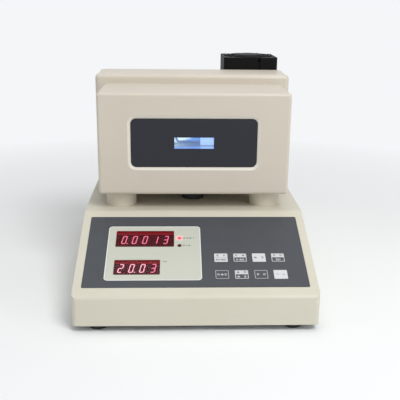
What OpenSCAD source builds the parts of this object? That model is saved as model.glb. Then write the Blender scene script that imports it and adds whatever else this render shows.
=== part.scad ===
// Benchtop density meter for liquids: a sloped control base carries a thermostatted
// measuring head on a rear housing and two front columns. Millimetres, +Z up, front
// towards -Y, origin on the bench under the middle of the base.

/* [Base] */
// Width of the base
base_w = 280; // [270:1:340]
// How far the base runs on behind the fan duct
base_tail = 7; // [6:1:60]
// Height of the front wall of the base
front_h = 35; // [32:1:50]
// Tilt of the control panel from level
panel_tilt = 22; // [18:1:28]
// Length of the sloped panel, front corner to crease
panel_len = 152; // [148:1:182]
// Wall of the moulded cases
wall = 3; // [2.5:0.1:4]
// Radius of the front vertical corners of the base
base_corner_r = 6; // [5:0.5:9]
// Radius of the edge between front wall and panel
front_edge_r = 5; // [3:0.5:8]
// Thickness of the steel bottom plate
plate_t = 2; // [1.5:0.1:3]
// Thickness of the rear panel and of the back cover
sheet_t = 2; // [1.5:0.1:3]

/* [Feet] */
// Diameter of a rubber foot
foot_d = 24; // [18:1:30]
// Height of a rubber foot
foot_h = 8; // [7:0.5:14]
// Centre of a foot from the side of the base
foot_side = 28; // [22:1:40]
// Centre of a foot from the front and back of the base
foot_end = 19; // [18:1:40]

/* [Overlay] */
// Border of the case beside the grey panel overlay
overlay_side = 10; // [6:1:12]
// Length of the overlay up the slope
overlay_len = 124; // [122:1:130]
// Distance of the overlay from the front corner
overlay_margin = 15; // [8:1:18]
// Thickness of the overlay
overlay_t = 1; // [0.8:0.1:1.5]
// How far the overlay stands proud of the case
overlay_proud = 0.2; // [0.1:0.1:0.4]

/* [Displays] */
// Width of the pale display bezel
bezel_w = 113; // [110:1:120]
// Length of the display bezel up the slope
bezel_len = 94; // [92:1:104]
// Middle of the bezel from the middle of the base
bezel_x = -49.4; // [-52:0.1:-49]
// Lower edge of the bezel above the overlay's lower edge
bezel_low = 11; // [8:1:14]
// Height of a digit
digit_h = 14.2; // [12:0.1:15]
// Width of a digit with its lean
digit_w = 8.1; // [7:0.1:9]
// Pitch of the digits
digit_pitch = 12.7; // [11:0.1:13]
// Width of one segment bar
segment_w = 1.25; // [0.9:0.05:1.4]
// Lean of the digits to the right, degrees
digit_lean = 10; // [0:1:12]
// Width of the density window
density_w = 71; // [70:0.5:74]
// Height of the density window
density_h = 29.2; // [26:0.1:30]
// Width of the temperature window
temperature_w = 54; // [52:0.5:58]
// Height of the temperature window
temperature_h = 24.8; // [21:0.1:26]
// Diameter of a unit lamp
lamp_d = 5; // [3:0.5:6]

/* [Keys] */
// Width of a key
key_w = 15.8; // [13:0.1:18]
// Height of a key up the slope
key_h = 14.2; // [12:0.1:18]
// Pitch of the keys across
key_pitch_x = 22.7; // [21:0.1:24]
// Pitch of the keys up the slope
key_pitch_y = 28.3; // [22:0.1:32]
// Middle of the first key from the middle of the base
key_x = 30.5; // [28:0.1:32]
// Middle of the lower keys above the overlay's lower edge
key_y = 20.1; // [18:0.1:26]
// Travel of a key
key_travel = 0.4; // [0.2:0.05:0.6]
// Diameter of a key's stem
key_stem_d = 3.4; // [2.8:0.1:4]

/* [Head] */
// Step from the base's side to the head's front box
head_side = 18; // [16:1:22]
// Height of the head's front box
head_h = 130.5; // [116:0.5:150]
// How far the front box stands out from the rear housing
head_reach = 100; // [92:1:130]
// Gap between base and front box
head_gap = 20; // [16:0.5:30]
// Setback of the front box behind the crease
head_set = 5; // [2:1:14]
// Radius of the front box's corners
head_r = 4; // [2:0.5:8]
// Side step from front box to rear housing
rear_step = 12; // [8:0.5:18]
// Top step from front box to rear housing
rear_rise = 12.5; // [8:0.5:20]
// Depth of the rear housing
rear_d = 74; // [66:1:90]
// Radius of the rear housing's corners
rear_r = 6; // [3:0.5:10]
// Thickness of the gasket under the rear housing
gasket_t = 1.5; // [1:0.1:3]

/* [Columns] */
// Diameter of a head column
column_d = 40; // [30:1:44]
// Distance between the two columns
column_span = 191; // [150:1:196]
// Middle of the columns behind the front of the head
column_back = 32; // [28:1:44]
// Diameter of the harness sleeve
sleeve_d = 30; // [22:1:34]
// Middle of the sleeve behind the front of the head
sleeve_back = 61; // [58:1:66]

/* [Label plate] */
// Width of the dark label plate
label_w = 160; // [140:1:180]
// Height of the label plate
label_h = 62; // [50:1:70]
// Middle of the label plate above the front box's floor
label_up = 67.4; // [62:0.1:70]
// Corner radius of the label plate
label_r = 7; // [4:0.5:10]
// Depth of the bevel round the label plate's recess
label_chamfer = 1.7; // [0.8:0.1:1.8]
// Width of that bevel on the front face
label_bevel = 3.8; // [1:0.1:4.2]
// Width of the viewing window
window_w = 50; // [46:0.5:56]
// Height of the viewing window
window_h = 14.4; // [13:0.1:17]

/* [Measuring cell] */
// Bore of the oscillating tube
tube_bore = 2; // [1.4:0.1:2.4]
// Outer diameter of the oscillating tube
tube_d = 3; // [2.8:0.1:3.4]
// Distance between the tube's two legs
tube_span = 9; // [8:0.5:9.5]
// Wall of the thermostat block beside its chamber and its heat pump
block_wall = 4; // [3:0.5:8]
// Depth of the thermostat block
block_d = 40; // [36:1:46]
// Height of the thermostat block
block_h = 64; // [58:1:76]
// Side of the square heat pump
pump_side = 40; // [34:1:44]
// Thickness of the heat pump
pump_t = 4; // [3:0.2:5]
// Left side of the heat pump from the rear housing's right side
pump_inset = 84; // [80:1:86]

/* [Cooling fan] */
// Side of the square fan frame
fan_side = 80; // [80:1:84]
// Height of the fan frame
fan_h = 25; // [20:1:32]
// Height of the fan's top above the rear housing
fan_rise = 17.5; // [12:0.5:24]
// Distance of the fan from the rear housing's right side
fan_inset = 6; // [5:0.5:8]
// Distance between fan and rear housing
fan_gap = 2; // [1.5:0.1:3]
// Distance between the fan's screw holes
fan_holes = 71.5; // [71.5:0.1:74]
// Number of fan blades
fan_blades = 7; // [5:1:9]

/* [Fits] */
// Radial clearance of a screw in its thread
thread_fit = 0.05; // [0.03:0.01:0.1]
// Radial clearance of a turning shaft
run_fit = 0.05; // [0.03:0.01:0.1]
// Clearance round a part set in an opening
seat_gap = 0.2; // [0.15:0.05:0.3]
// Radial clearance of a screw in a plain hole
hole_gap = 0.2; // [0.15:0.05:0.4]

/* [Hidden] */
$fn = 64;
eps = 0.5;                       // how far a cut runs past a face
rise = panel_len * sin(panel_tilt);
run = panel_len * cos(panel_tilt);
duct_side = fan_side + 2;
duct_d = fan_gap + fan_side + 1;
base_d = run + head_set + head_reach + rear_d + duct_d + base_tail;
front_y = -base_d / 2;
back_y = base_d / 2;
crease_y = front_y + run;
top_z = foot_h + front_h + rise;  // top of the base
floor_z = foot_h + plate_t;       // top of the bottom plate
inner_w = base_w - 2 * wall;

overlay_w = base_w - 2 * overlay_side;
overlay_deep = overlay_t - overlay_proud;
overlay_y = overlay_margin + overlay_len / 2;
bezel_y = overlay_margin + bezel_low + bezel_len / 2;
bezel_t = 1.3;
bezel_r = 4.5;
density_x = bezel_x - 11.4;
density_y = bezel_y + 24.25;
temperature_x = bezel_x - 19.25;
temperature_y = bezel_y - 25.4;
lamp_x = bezel_x + 30.7;
lamp_ys = [bezel_y + 25.3, bezel_y + 11.8];
filter_flange = 1.5;              // flange of a filter all round
filter_t = 1;
face_deep = 2.6;                  // display face below the case surface
display_t = 8;
display_side = 19;
board_t = 1.6;
board_top = -(face_deep + display_t);
board_aside = 12;                 // board edge inside the overlay's sides
board_ahead = 10;                 // board edge inside the overlay's ends
panel_board_w = overlay_w - 2 * board_aside;
panel_board_len = overlay_len - 2 * board_ahead;
post_d = 8;
post_in = 6;                      // screw posts inside the board's edges
post_side = panel_board_w / 2 - post_in;
post_end = panel_board_len / 2 - post_in;
post_xs = [-post_side, post_side];
post_ys = [overlay_y - post_end, overlay_y + post_end];
segment_t = 0.3;
dot_aside = 3.6;                  // decimal point from the middle of its digit
display_up = 1;                   // displays above the middles of their windows

switch_side = 6;
switch_t = 5;
stem_reach = 2.2;                 // stem inside its switch
key_t = 2;
key_top = overlay_proud + 0.2;
KEYS = [for (row = [1, 0], col = [0 : 3])
    [key_x + col * key_pitch_x, overlay_margin + key_y + row * key_pitch_y]];

head_w = base_w - 2 * head_side;
head_y = crease_y + head_set;     // front of the head
head_z = top_z + head_gap;        // underside of the front box
rear_y = head_y + head_reach;     // front of the rear housing
rear_back = rear_y + rear_d;
duct_y = rear_back;
rear_w = head_w + 2 * rear_step;
rear_z = top_z + gasket_t;
rear_top = head_z + head_h + rear_rise;
label_z = head_z + label_up;
label_deep = 2;
label_t = 1;
pane_rim = 2;
pane_t = 1.5;
column_y = head_y + column_back;
sleeve_y = head_y + sleeve_back;
sleeve_bore = sleeve_d - 6;
harness_d = 9;

front_wall = wall + 1;            // front wall of the front box
block_y = head_y + 22;            // front of the thermostat block
pane_edge = 0.5;                  // tunnel's edge in front of the pane
tunnel_wall = 2.5;
tunnel_w = window_w + 2 * (pane_rim - pane_edge);
tunnel_h = window_h + 2 * (pane_rim - pane_edge);
pump_left = rear_w / 2 - pump_inset;
pump_x = pump_left + pump_side / 2;
turn_x = pump_left - 8;           // where the sample lines turn back
chamber_left = -39;
chamber_right = turn_x - 7;
chamber_h = tunnel_h;
chamber_deep = 24;
tube_y = block_y + 12;
bend_x = -18;                     // middle of the tube's bend
root_x = 9;                       // left face of the tube's root
root_w = chamber_right - root_x;
root_t = 12;
root_h = 16;
light_t = 2;
fan_x = rear_w / 2 - fan_inset - fan_side / 2;
fan_y = rear_back + fan_gap + fan_side / 2;
fan_top = rear_top + fan_rise;
fan_z = fan_top - fan_h;
pump_y = block_y + block_d;
spreader_y = pump_y + pump_t;
block_left = chamber_left - block_wall;
block_right = pump_x + pump_side / 2 + block_wall + 1;
foam = 12;                        // foam beside the block
sample_tube_d = 3.2;
line_hole = sample_tube_d + 2 * hole_gap;
elbow_r = 5;
light_x = -8;
light_w = 60;
light_h = 16;
foam_left = 60;                   // foam left of the block

duct_wall = 1.5;
duct_top_t = 3;
sink_base_t = 8;
sink_w = fan_side - 10;
sink_h = 90;
fin_t = 2;
fin_count = 10;
fin_len = fan_side - 24;
fan_bore = fan_side - 4;
hub_d = 38;
hub_h = 16;
strut_t = 3;
shaft_d = 3;
wire_d = 1.6;
guard_disc_d = 43;
guard_h = 4;
guard_lap = 1.2;                  // width of the guard's seat in the frame
rebate_r = fan_bore / 2 + guard_lap;
fan_head_d = 6.8;
fan_head_h = 2.4;
fan_head_sink = 2.6;              // depth of the screw seats in the frame

rear_inset = 4;                   // rear panel inside the back edge
panel_y = back_y - rear_inset - sheet_t;
ledge = 4;
inlet_x = 96;
inlet_z = floor_z + 34;
inlet_w = 27;
inlet_h = 20;
inlet_flange_w = 50;
inlet_flange_h = 25;
inlet_flange_t = 2.5;
inlet_deep = 24;
socket_w = 24;
socket_h = 16.4;
socket_deep = 17;
fuse_x = 58;
fuse_d = 12;
switch_x = 30;
rocker_r = 9.95;
rocker_w = 10;
rocker_pivot = 4;                 // pivot inside the panel's outer face
rocker_swing = 8;                 // each way from the middle
rocker_pin_d = 3;
rocker_pin = 1.2;
rocker_frame_h = 24;
rocker_frame_w = 16;
rocker_lip = 1.8;

m3 = 3;
m4 = 4;
m6 = 6;
screw_head_d = 5.6;
screw_head_h = 2;
boss = 10;                        // square screw boss
boss_h = 24;
plate_screws = [
    for (x = [-1, 1], y = [front_y + wall + boss / 2, 0, panel_y - ledge - boss / 2])
        [x * (inner_w / 2 - boss / 2), y]];
front_vents = 85;                 // vent rows in the bottom plate, from the front
back_vents = 95;                  // and from the back
rear_vents = 27;                  // rear vents inside the side wall
foot_spots = [for (x = [-1, 1], y = [-1, 1])
    [x * (base_w / 2 - foot_side), y * (base_d / 2 - foot_end)]];

main_board_w = 150;
main_board_d = 110;
main_board_x = -35;
main_board_y = sleeve_y - 20;
spacer_h = 8;
spacer_d = 6;
board_z = floor_z + spacer_h;
supply_x = 90;
supply_back = 104;                // middle of the supply board to the rear panel
supply_y = panel_y - supply_back;
supply_w = 64;
supply_d = 120;
cover_z_low = rear_z + wall + ledge / 2 + 1;
cover_z_high = rear_top - wall - ledge / 2 - 1;
ledge_w = 8;
cover_right = fan_x - duct_side / 2 - 9;
cover_left = -(rear_w / 2 - wall - ledge_w / 2);
cover_screws_at = [for (x = [cover_left, cover_right], z = [cover_z_low, cover_z_high]) [x, z]];
duct_screws_at = [for (x = [-1, 1], z = [top_z + 20, fan_z - 12])
    [fan_x + x * 28, z]];
box_screws_at = [for (x = [-1, 1], z = [0, 1]) [
    x * (head_w / 2 - wall - boss / 2),
    head_z + wall + boss / 2 + z * (head_h - 2 * wall - boss)]];
gasket_band = 16;
floor_screws_at = [for (x = [-1, 1], y = [rear_y + 1 + gasket_band / 2, rear_back - 1 - gasket_band / 2])
    [x * (rear_w / 2 - rear_r - gasket_band / 2), y]];
rear_screws_at = [for (x = [-1, 1], z = [floor_z + 12, top_z - wall - 14])
    [x * (inner_w / 2 - ledge_w / 2), z]];
screw_l = 8;                      // all case and board screws are M3 x 8
port_aside = 21;                  // ports left of the fan duct
port_x = fan_x - duct_side / 2 - port_aside;
port_span = 24;                   // between the two sample ports
port_d = 8;
port_l = 12;
port_hex = 12;
port_hex_t = 4;
port_in = 6;                      // port inside the back cover
port_bore = 4.1;
port_bore_l = 9;

// ---- shapes used more than once

// Rectangle with round corners, centred
module round_rect(w, h, r) {
    square([w - 2 * r, h], center = true);
    square([w, h - 2 * r], center = true);
    for (x = [-1, 1], y = [-1, 1])
        translate([x * (w / 2 - r), y * (h / 2 - r)])
            circle(r);
}

// Slab with round corners, lying in XY, from z to z + t
module round_slab(w, h, r, z, t) {
    translate([0, 0, z])
        linear_extrude(t)
            round_rect(w, h, r);
}

// Runs a 2D (Y, Z) outline along X over a width w
module along_x(w) {
    translate([-w / 2, 0, 0])
        rotate([90, 0, 90])
            linear_extrude(w)
                children();
}

// Stands a 2D (X, Z) outline up and runs it from y towards +Y over a depth d
module along_y(y, d) {
    translate([0, y + d, 0])
        rotate([90, 0, 0])
            linear_extrude(d)
                children();
}

// Places children on the sloped panel: X across, Y up the slope, Z out of it
module on_panel() {
    translate([0, front_y, foot_h + front_h])
        rotate([panel_tilt, 0, 0])
            children();
}

// Cylinder between two points
module rod(a, b, d) {
    v = b - a;
    translate(a)
        rotate([0, acos(v.z / norm(v)), atan2(v.y, v.x)])
            cylinder(h = norm(v), d = d);
}

// Pan-head screw: head above z = 0, shank below
module pan_screw(d, l, head_d = screw_head_d, head_h = screw_head_h) {
    difference() {
        cylinder(h = head_h, d = head_d);
        for (a = [0, 90])
            rotate([0, 0, a])
                translate([0, 0, head_h])
                    cube([head_d * 0.6, 0.8, 1.6], center = true);
    }
    translate([0, 0, -l])
        cylinder(h = l + eps, d = d);
}

// ---- base

// Side outline of the base, moved in by i, reaching past its open sides by more
module base_outline(i = 0, more = 0) {
    polygon([
        [i, -more],
        [i, front_h - i * tan((90 - panel_tilt) / 2)],
        [run + i * tan(panel_tilt / 2), front_h + rise - i],
        [base_d + more, front_h + rise - i],
        [base_d + more, -more]]);
}

// The same outline with its front edge rounded
module base_outline_round() {
    t = front_edge_r * tan((90 - panel_tilt) / 2);
    centre = [front_edge_r, front_h - t];
    difference() {
        base_outline();
        polygon([
            centre,
            [-1, front_h - t],
            [-1, front_h + 1],
            [t * cos(panel_tilt), front_h + t * sin(panel_tilt) + 1],
            [t * cos(panel_tilt), front_h + t * sin(panel_tilt)]]);
    }
    translate(centre)
        circle(front_edge_r);
}

// Plan of the base with round front corners
module base_plan() {
    r = base_corner_r;
    translate([-base_w / 2, front_y + r])
        square([base_w, base_d - r]);
    translate([-base_w / 2 + r, front_y])
        square([base_w - 2 * r, base_d]);
    for (x = [-1, 1])
        translate([x * (base_w / 2 - r), front_y + r])
            circle(r);
}

module base_skin() {
    intersection() {
        translate([0, front_y, foot_h])
            along_x(base_w)
                base_outline_round();
        translate([0, 0, foot_h])
            linear_extrude(front_h + rise + 1)
                base_plan();
    }
}

module panel_cuts() {
    translate([0, overlay_y, 0])
        round_slab(overlay_w + 2 * seat_gap, overlay_len + 2 * seat_gap, 2, -overlay_deep, 9);
    for (f = [
        [density_x, density_y, density_w, density_h],
        [temperature_x, temperature_y, temperature_w, temperature_h]])
        translate([f[0], f[1], -wall - eps])
            linear_extrude(wall + 2)
                square([
                    f[2] + 2 * filter_flange + 2 * seat_gap,
                    f[3] + 2 * filter_flange + 2 * seat_gap], center = true);
    for (y = lamp_ys)
        translate([lamp_x, y, -wall - eps])
            cylinder(h = wall + 2, d = lamp_d + 2 * seat_gap);
    for (k = KEYS)
        translate([k[0], k[1], -wall / 2])
            cube([key_w + 4 * seat_gap, key_h + 4 * seat_gap, wall + 4], center = true);
}

module base_shell() {
    color("wheat")
    difference() {
        union() {
            difference() {
                base_skin();
                translate([0, front_y, foot_h])
                    along_x(inner_w)
                        base_outline(wall, 2);
            }
            // bosses for the bottom plate's screws
            for (s = plate_screws)
                translate([s[0] - boss / 2, s[1] - boss / 2, floor_z])
                    cube([boss, boss, boss_h]);
            // ledge that the rear panel is drawn against
            intersection() {
                base_skin();
                difference() {
                    translate([-inner_w / 2, panel_y - ledge, floor_z])
                        cube([inner_w, ledge, top_z - floor_z]);
                    translate([-inner_w / 2 + ledge_w, panel_y - ledge - 1, floor_z - 1])
                        cube([inner_w - 2 * ledge_w, ledge + 2, top_z - wall - ledge_w - floor_z + 1]);
                }
            }
            // posts that carry the panel board
            on_panel()
                for (x = post_xs, y = post_ys)
                    translate([x, y, board_top])
                        cylinder(h = -board_top - wall / 2, d = post_d);
        }
        on_panel()
            panel_cuts();
        on_panel()
            for (x = post_xs, y = post_ys)
                translate([x, y, board_top - eps])
                    cylinder(h = 7, d = m3 + 2 * thread_fit);
        for (s = plate_screws)
            translate([s[0], s[1], floor_z - eps])
                cylinder(h = boss_h - 4, d = m3 + 2 * thread_fit);
        for (s = rear_screws_at)
            translate([s[0], panel_y + eps, s[1]])
                rotate([90, 0, 0])
                    cylinder(h = screw_l, d = m3 + 2 * thread_fit);
        for (x = [-1, 1])
            translate([x * column_span / 2, column_y, top_z - wall - eps])
                cylinder(h = wall + 2, d = m6 + 2 * hole_gap);
        translate([0, sleeve_y, top_z - wall - eps])
            cylinder(h = wall + 2, d = sleeve_bore);
        for (s = floor_screws_at)
            translate([s[0], s[1], top_z - wall - eps])
                cylinder(h = wall + 2, d = m3 + 2 * thread_fit);
    }
}

module base_plate() {
    color("silver")
    difference() {
        translate([-inner_w / 2 + seat_gap, front_y + wall + seat_gap, foot_h])
            cube([inner_w - 2 * seat_gap, base_d - wall - 2 * seat_gap, plate_t]);
        for (s = plate_screws)
            translate([s[0], s[1], foot_h - eps])
                cylinder(h = plate_t + 2 * eps, d = m3 + 2 * hole_gap);
        for (s = foot_spots)
            translate([s[0], s[1], foot_h - eps])
                cylinder(h = plate_t + 2 * eps, d = m4 + 2 * thread_fit);
        for (x = [-60 : 12 : 60], y = [front_y + front_vents, back_y - back_vents])
            translate([x, y, foot_h + plate_t / 2])
                cube([5, 40, plate_t + 2 * eps], center = true);
    }
}

module rubber_foot() {
    lip = 2;
    difference() {
        rotate_extrude() {
            square([foot_d / 2 - lip, foot_h]);
            translate([0, lip])
                square([foot_d / 2, foot_h - lip]);
            translate([foot_d / 2 - lip, lip])
                circle(lip);
        }
        translate([0, 0, -eps])
            cylinder(h = foot_h + 2 * eps, d = m4 + 2 * hole_gap);
        translate([0, 0, -eps])
            cylinder(h = foot_h - 3 + eps, d = 10);
    }
}

module rubber_feet() {
    color("dimgray")
    for (s = foot_spots)
        translate([s[0], s[1], 0])
            rubber_foot();
}

module foot_screws() {
    color("silver")
    for (s = foot_spots)
        translate([s[0], s[1], foot_h - 3])
            rotate([180, 0, 0])
                pan_screw(m4, plate_t + 5, 8, 2.6);
}

// ---- rear of the base

module rear_panel() {
    color("lightgray")
    difference() {
        translate([-inner_w / 2 + seat_gap, panel_y, floor_z])
            cube([inner_w - 2 * seat_gap, sheet_t, top_z - wall - floor_z - seat_gap]);
        for (s = rear_screws_at)
            translate([s[0], panel_y + sheet_t + eps, s[1]])
                rotate([90, 0, 0])
                    cylinder(h = sheet_t + 2 * eps, d = m3 + 2 * hole_gap);
        translate([inlet_x, panel_y + sheet_t / 2, inlet_z])
            cube([inlet_w + 2 * seat_gap, sheet_t + 2 * eps, inlet_h + 2 * seat_gap], center = true);
        translate([fuse_x, panel_y - eps, inlet_z])
            rotate([-90, 0, 0])
                cylinder(h = sheet_t + 2 * eps, d = fuse_d + 2 * seat_gap);
        translate([switch_x, panel_y + sheet_t / 2, inlet_z])
            cube([
                rocker_frame_w - 2 + 2 * seat_gap,
                sheet_t + 2 * eps,
                rocker_frame_h - 2 + 2 * seat_gap], center = true);
        for (x = [-(inner_w / 2 - rear_vents) : 9 : -29])
            translate([x, panel_y + sheet_t / 2, inlet_z + 4])
                cube([4, sheet_t + 2 * eps, 34], center = true);
    }
}

// Moves children to the rear panel: X across, Y up, Z out of the panel
module on_rear(x) {
    translate([x, panel_y + sheet_t, inlet_z])
        rotate([90, 0, 180])
            children();
}

module mains_inlet() {
    color("dimgray")
    on_rear(inlet_x)
        difference() {
            union() {
                round_slab(inlet_flange_w, inlet_flange_h, 4, 0, inlet_flange_t);
                translate([0, 0, -inlet_deep / 2])
                    cube([inlet_w, inlet_h, inlet_deep + 1], center = true);
            }
            translate([0, 0, inlet_flange_t - socket_deep])
                linear_extrude(socket_deep + 1)
                    polygon([
                        [-socket_w / 2, -socket_h / 2],
                        [socket_w / 2, -socket_h / 2],
                        [socket_w / 2, socket_h / 2 - 4],
                        [socket_w / 2 - 4, socket_h / 2],
                        [-socket_w / 2 + 4, socket_h / 2],
                        [-socket_w / 2, socket_h / 2 - 4]]);
        }
}

module inlet_pins() {
    pin_l = 14;
    color("silver")
    on_rear(inlet_x)
        for (p = [[-7, -2], [0, 2], [7, -2]])
            translate([p[0], p[1], inlet_flange_t - socket_deep + pin_l / 2])
                cube([2, 4, pin_l], center = true);
}

module fuse_holder() {
    color("black")
    on_rear(fuse_x)
        difference() {
            union() {
                cylinder(h = 2.3, d = fuse_d + 4);
                translate([0, 0, -26])
                    cylinder(h = 27, d = fuse_d);
            }
            translate([0, 0, 2])
                cube([8, 1.2, 2], center = true);
        }
}

module switch_frame() {
    cavity_h = 2 * (rocker_r + 0.15);
    color("black")
    on_rear(switch_x)
        difference() {
            union() {
                round_slab(rocker_frame_w, rocker_frame_h, 1.5, 0, rocker_lip);
                translate([0, 0, -8])
                    cube([rocker_frame_w - 2, rocker_frame_h - 2, 18], center = true);
            }
            translate([0, 0, -4])
                cube([rocker_w + 0.4, cavity_h, 20.5], center = true);
            translate([-rocker_frame_w / 2, 0, -rocker_pivot])
                rotate([0, 90, 0])
                    cylinder(h = rocker_frame_w, d = rocker_pin_d + 2 * run_fit);
        }
}

module power_rocker() {
    dip = 0.8;
    color("firebrick")
    on_rear(switch_x)
        translate([0, 0, -rocker_pivot])
            rotate([rocker_swing, 0, 0]) {
                rotate([90, 0, 90])
                    translate([0, 0, -rocker_w / 2])
                        linear_extrude(rocker_w)
                            intersection() {
                                circle(rocker_r);
                                polygon([
                                    [-rocker_r, -rocker_pivot],
                                    [rocker_r, -rocker_pivot],
                                    [rocker_r, rocker_pivot + dip + rocker_r * tan(rocker_swing)],
                                    [0, rocker_pivot + dip],
                                    [-rocker_r, rocker_pivot + dip + rocker_r * tan(rocker_swing)]]);
                            }
                translate([-rocker_w / 2 - rocker_pin, 0, 0])
                    rotate([0, 90, 0])
                        cylinder(h = rocker_w + 2 * rocker_pin, d = rocker_pin_d);
            }
}

// ---- control panel

module panel_overlay() {
    color("slategray")
    on_panel()
        difference() {
            translate([0, overlay_y, 0])
                round_slab(overlay_w, overlay_len, 2, -overlay_deep, overlay_t);
            translate([bezel_x, bezel_y, 0])
                round_slab(bezel_w + 2 * seat_gap, bezel_len + 2 * seat_gap, bezel_r, -5, 9);
            for (k = KEYS)
                translate([k[0], k[1], 0])
                    cube([key_w + 2 * seat_gap, key_h + 2 * seat_gap, 9], center = true);
        }
}

module display_bezel() {
    color("gainsboro")
    on_panel()
        difference() {
            translate([bezel_x, bezel_y, 0])
                round_slab(bezel_w, bezel_len, bezel_r, -overlay_deep, bezel_t);
            translate([density_x, density_y, 0])
                round_slab(density_w, density_h, 1.2, -5, 9);
            translate([temperature_x, temperature_y, 0])
                round_slab(temperature_w, temperature_h, 1.2, -5, 9);
            for (y = lamp_ys)
                translate([lamp_x, y, -5])
                    cylinder(h = 9, d = lamp_d + 2 * seat_gap);
        }
}

module display_filter(x, y, w, h) {
    translate([x, y, 0]) {
        round_slab(w - 2 * seat_gap, h - 2 * seat_gap, 1, -overlay_deep - filter_t, filter_t + 0.9);
        translate([0, 0, -overlay_deep - filter_t / 2])
            cube([w + 2 * filter_flange, h + 2 * filter_flange, filter_t], center = true);
    }
}

module display_filters() {
    color("darkred")
    on_panel() {
        display_filter(density_x, density_y, density_w, density_h);
        display_filter(temperature_x, temperature_y, temperature_w, temperature_h);
    }
}

module display_body(x, y, digits) {
    on_panel()
        translate([x, y, board_top + display_t / 2])
            cube([digits * digit_pitch, display_side, display_t], center = true);
}

module density_display() {
    color("black")
    display_body(density_x, density_y + display_up, 5);
}

module temperature_display() {
    color("black")
    display_body(temperature_x, temperature_y + display_up, 4);
}

// One bar of a digit, with pointed ends, its middle at a place; it leans with the digit
module segment_bar(l, at, upright) {
    h = segment_w / 2;
    bar = [[-l / 2, 0], [-l / 2 + h, h], [l / 2 - h, h], [l / 2, 0], [l / 2 - h, -h], [-l / 2 + h, -h]];
    placed = [for (p = bar) at + (upright ? [-p.y, p.x] : p)];
    polygon([for (p = placed) [p.x + p.y * tan(digit_lean), p.y]]);
}

// Bars that are lit, as a string of their letters, clockwise from the top, g in the middle
module digit_bars(lit) {
    across = digit_w - segment_w - (digit_h - segment_w) * tan(digit_lean);
    up = (digit_h - segment_w) / 2;
    bar_a = across - 0.3;
    bar_u = up - 0.3;
    for (s = lit) {
        if (s == "a") segment_bar(bar_a, [0, up], false);
        if (s == "b") segment_bar(bar_u, [across / 2, up / 2], true);
        if (s == "c") segment_bar(bar_u, [across / 2, -up / 2], true);
        if (s == "d") segment_bar(bar_a, [0, -up], false);
        if (s == "e") segment_bar(bar_u, [-across / 2, -up / 2], true);
        if (s == "f") segment_bar(bar_u, [-across / 2, up / 2], true);
        if (s == "g") segment_bar(bar_a, [0, 0], false);
    }
}

// A row of lit digits with the point after place dot
module lit_digits(x, y, rows, dot) {
    first = -(len(rows) - 1) / 2 * digit_pitch;
    on_panel()
        translate([x, y, -face_deep])
            linear_extrude(segment_t) {
                for (i = [0 : len(rows) - 1])
                    translate([first + i * digit_pitch, 0])
                        digit_bars(rows[i]);
                translate([first + (dot - 1) * digit_pitch + dot_aside, -digit_h / 2 + segment_w / 2])
                    circle(segment_w * 0.6);
            }
}

module density_digits() {
    color("tomato")
    lit_digits(density_x, density_y + display_up, ["abcdef", "abcdef", "abcdef", "bc", "abcdg"], 1);
}

module temperature_digits() {
    color("tomato")
    lit_digits(temperature_x, temperature_y + display_up, ["abdeg", "abcdef", "abcdef", "abcdg"], 2);
}

module unit_lamps() {
    color("indianred")
    on_panel()
        for (y = lamp_ys)
            translate([lamp_x, y, 0]) {
                translate([0, 0, board_top])
                    cylinder(h = -board_top - wall - 0.4, d = lamp_d + 0.9);
                translate([0, 0, board_top])
                    cylinder(h = bezel_t - overlay_deep - board_top - 0.1, d = lamp_d);
            }
}

// A key: pad in the overlay and stem in its switch
module key(i) {
    bottom = key_top - key_t;
    color(i % 2 == 0 ? "white" : "lightgray")
    on_panel()
        translate([KEYS[i][0], KEYS[i][1], 0]) {
            round_slab(key_w, key_h, 0.8, bottom, key_t);
            translate([0, 0, board_top + switch_t - stem_reach])
                cylinder(h = bottom - board_top - switch_t + stem_reach + 0.2, d = key_stem_d);
        }
}
module key_1() key(0);
module key_2() key(1);
module key_3() key(2);
module key_4() key(3);
module key_5() key(4);
module key_6() key(5);
module key_7() key(6);
module key_8() key(7);

module key_switches() {
    color("dimgray")
    on_panel()
        for (k = KEYS)
            translate([k[0], k[1], 0])
                difference() {
                    translate([0, 0, board_top + switch_t / 2])
                        cube([switch_side, switch_side, switch_t], center = true);
                    translate([0, 0, board_top + switch_t - stem_reach - key_travel - 0.4])
                        cylinder(h = switch_t, d = key_stem_d + 2 * run_fit);
                }
}

module panel_board() {
    color("darkgreen")
    on_panel()
        difference() {
            translate([0, overlay_y, board_top - board_t / 2])
                cube([panel_board_w, panel_board_len, board_t], center = true);
            for (x = post_xs, y = post_ys)
                translate([x, y, board_top - board_t - eps])
                    cylinder(h = board_t + 2 * eps, d = m3 + 2 * hole_gap);
        }
}

// ---- inside the base

main_board_holes = [for (x = [-1, 1], y = [-1, 1]) [
    main_board_x + x * (main_board_w / 2 - 6),
    main_board_y + y * (main_board_d / 2 - 6)]];
supply_holes = [for (x = [-1, 1], y = [-1, 1]) [
    supply_x + x * (supply_w / 2 - 5),
    supply_y + y * (supply_d / 2 - 5)]];

module board_screws() {
    color("silver") {
        on_panel()
            for (x = post_xs, y = post_ys)
                translate([x, y, board_top - board_t])
                    rotate([180, 0, 0])
                        pan_screw(m3, screw_l);
        for (h = concat(main_board_holes, supply_holes))
            translate([h[0], h[1], board_z + board_t])
                pan_screw(m3, screw_l);
    }
}

module board_spacers() {
    color("gold")
    for (h = concat(main_board_holes, supply_holes))
        translate([h[0], h[1], floor_z])
            difference() {
                cylinder(h = spacer_h, d = spacer_d, $fn = 6);
                translate([0, 0, 1])
                    cylinder(h = spacer_h, d = m3 + 2 * thread_fit);
            }
}

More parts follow.
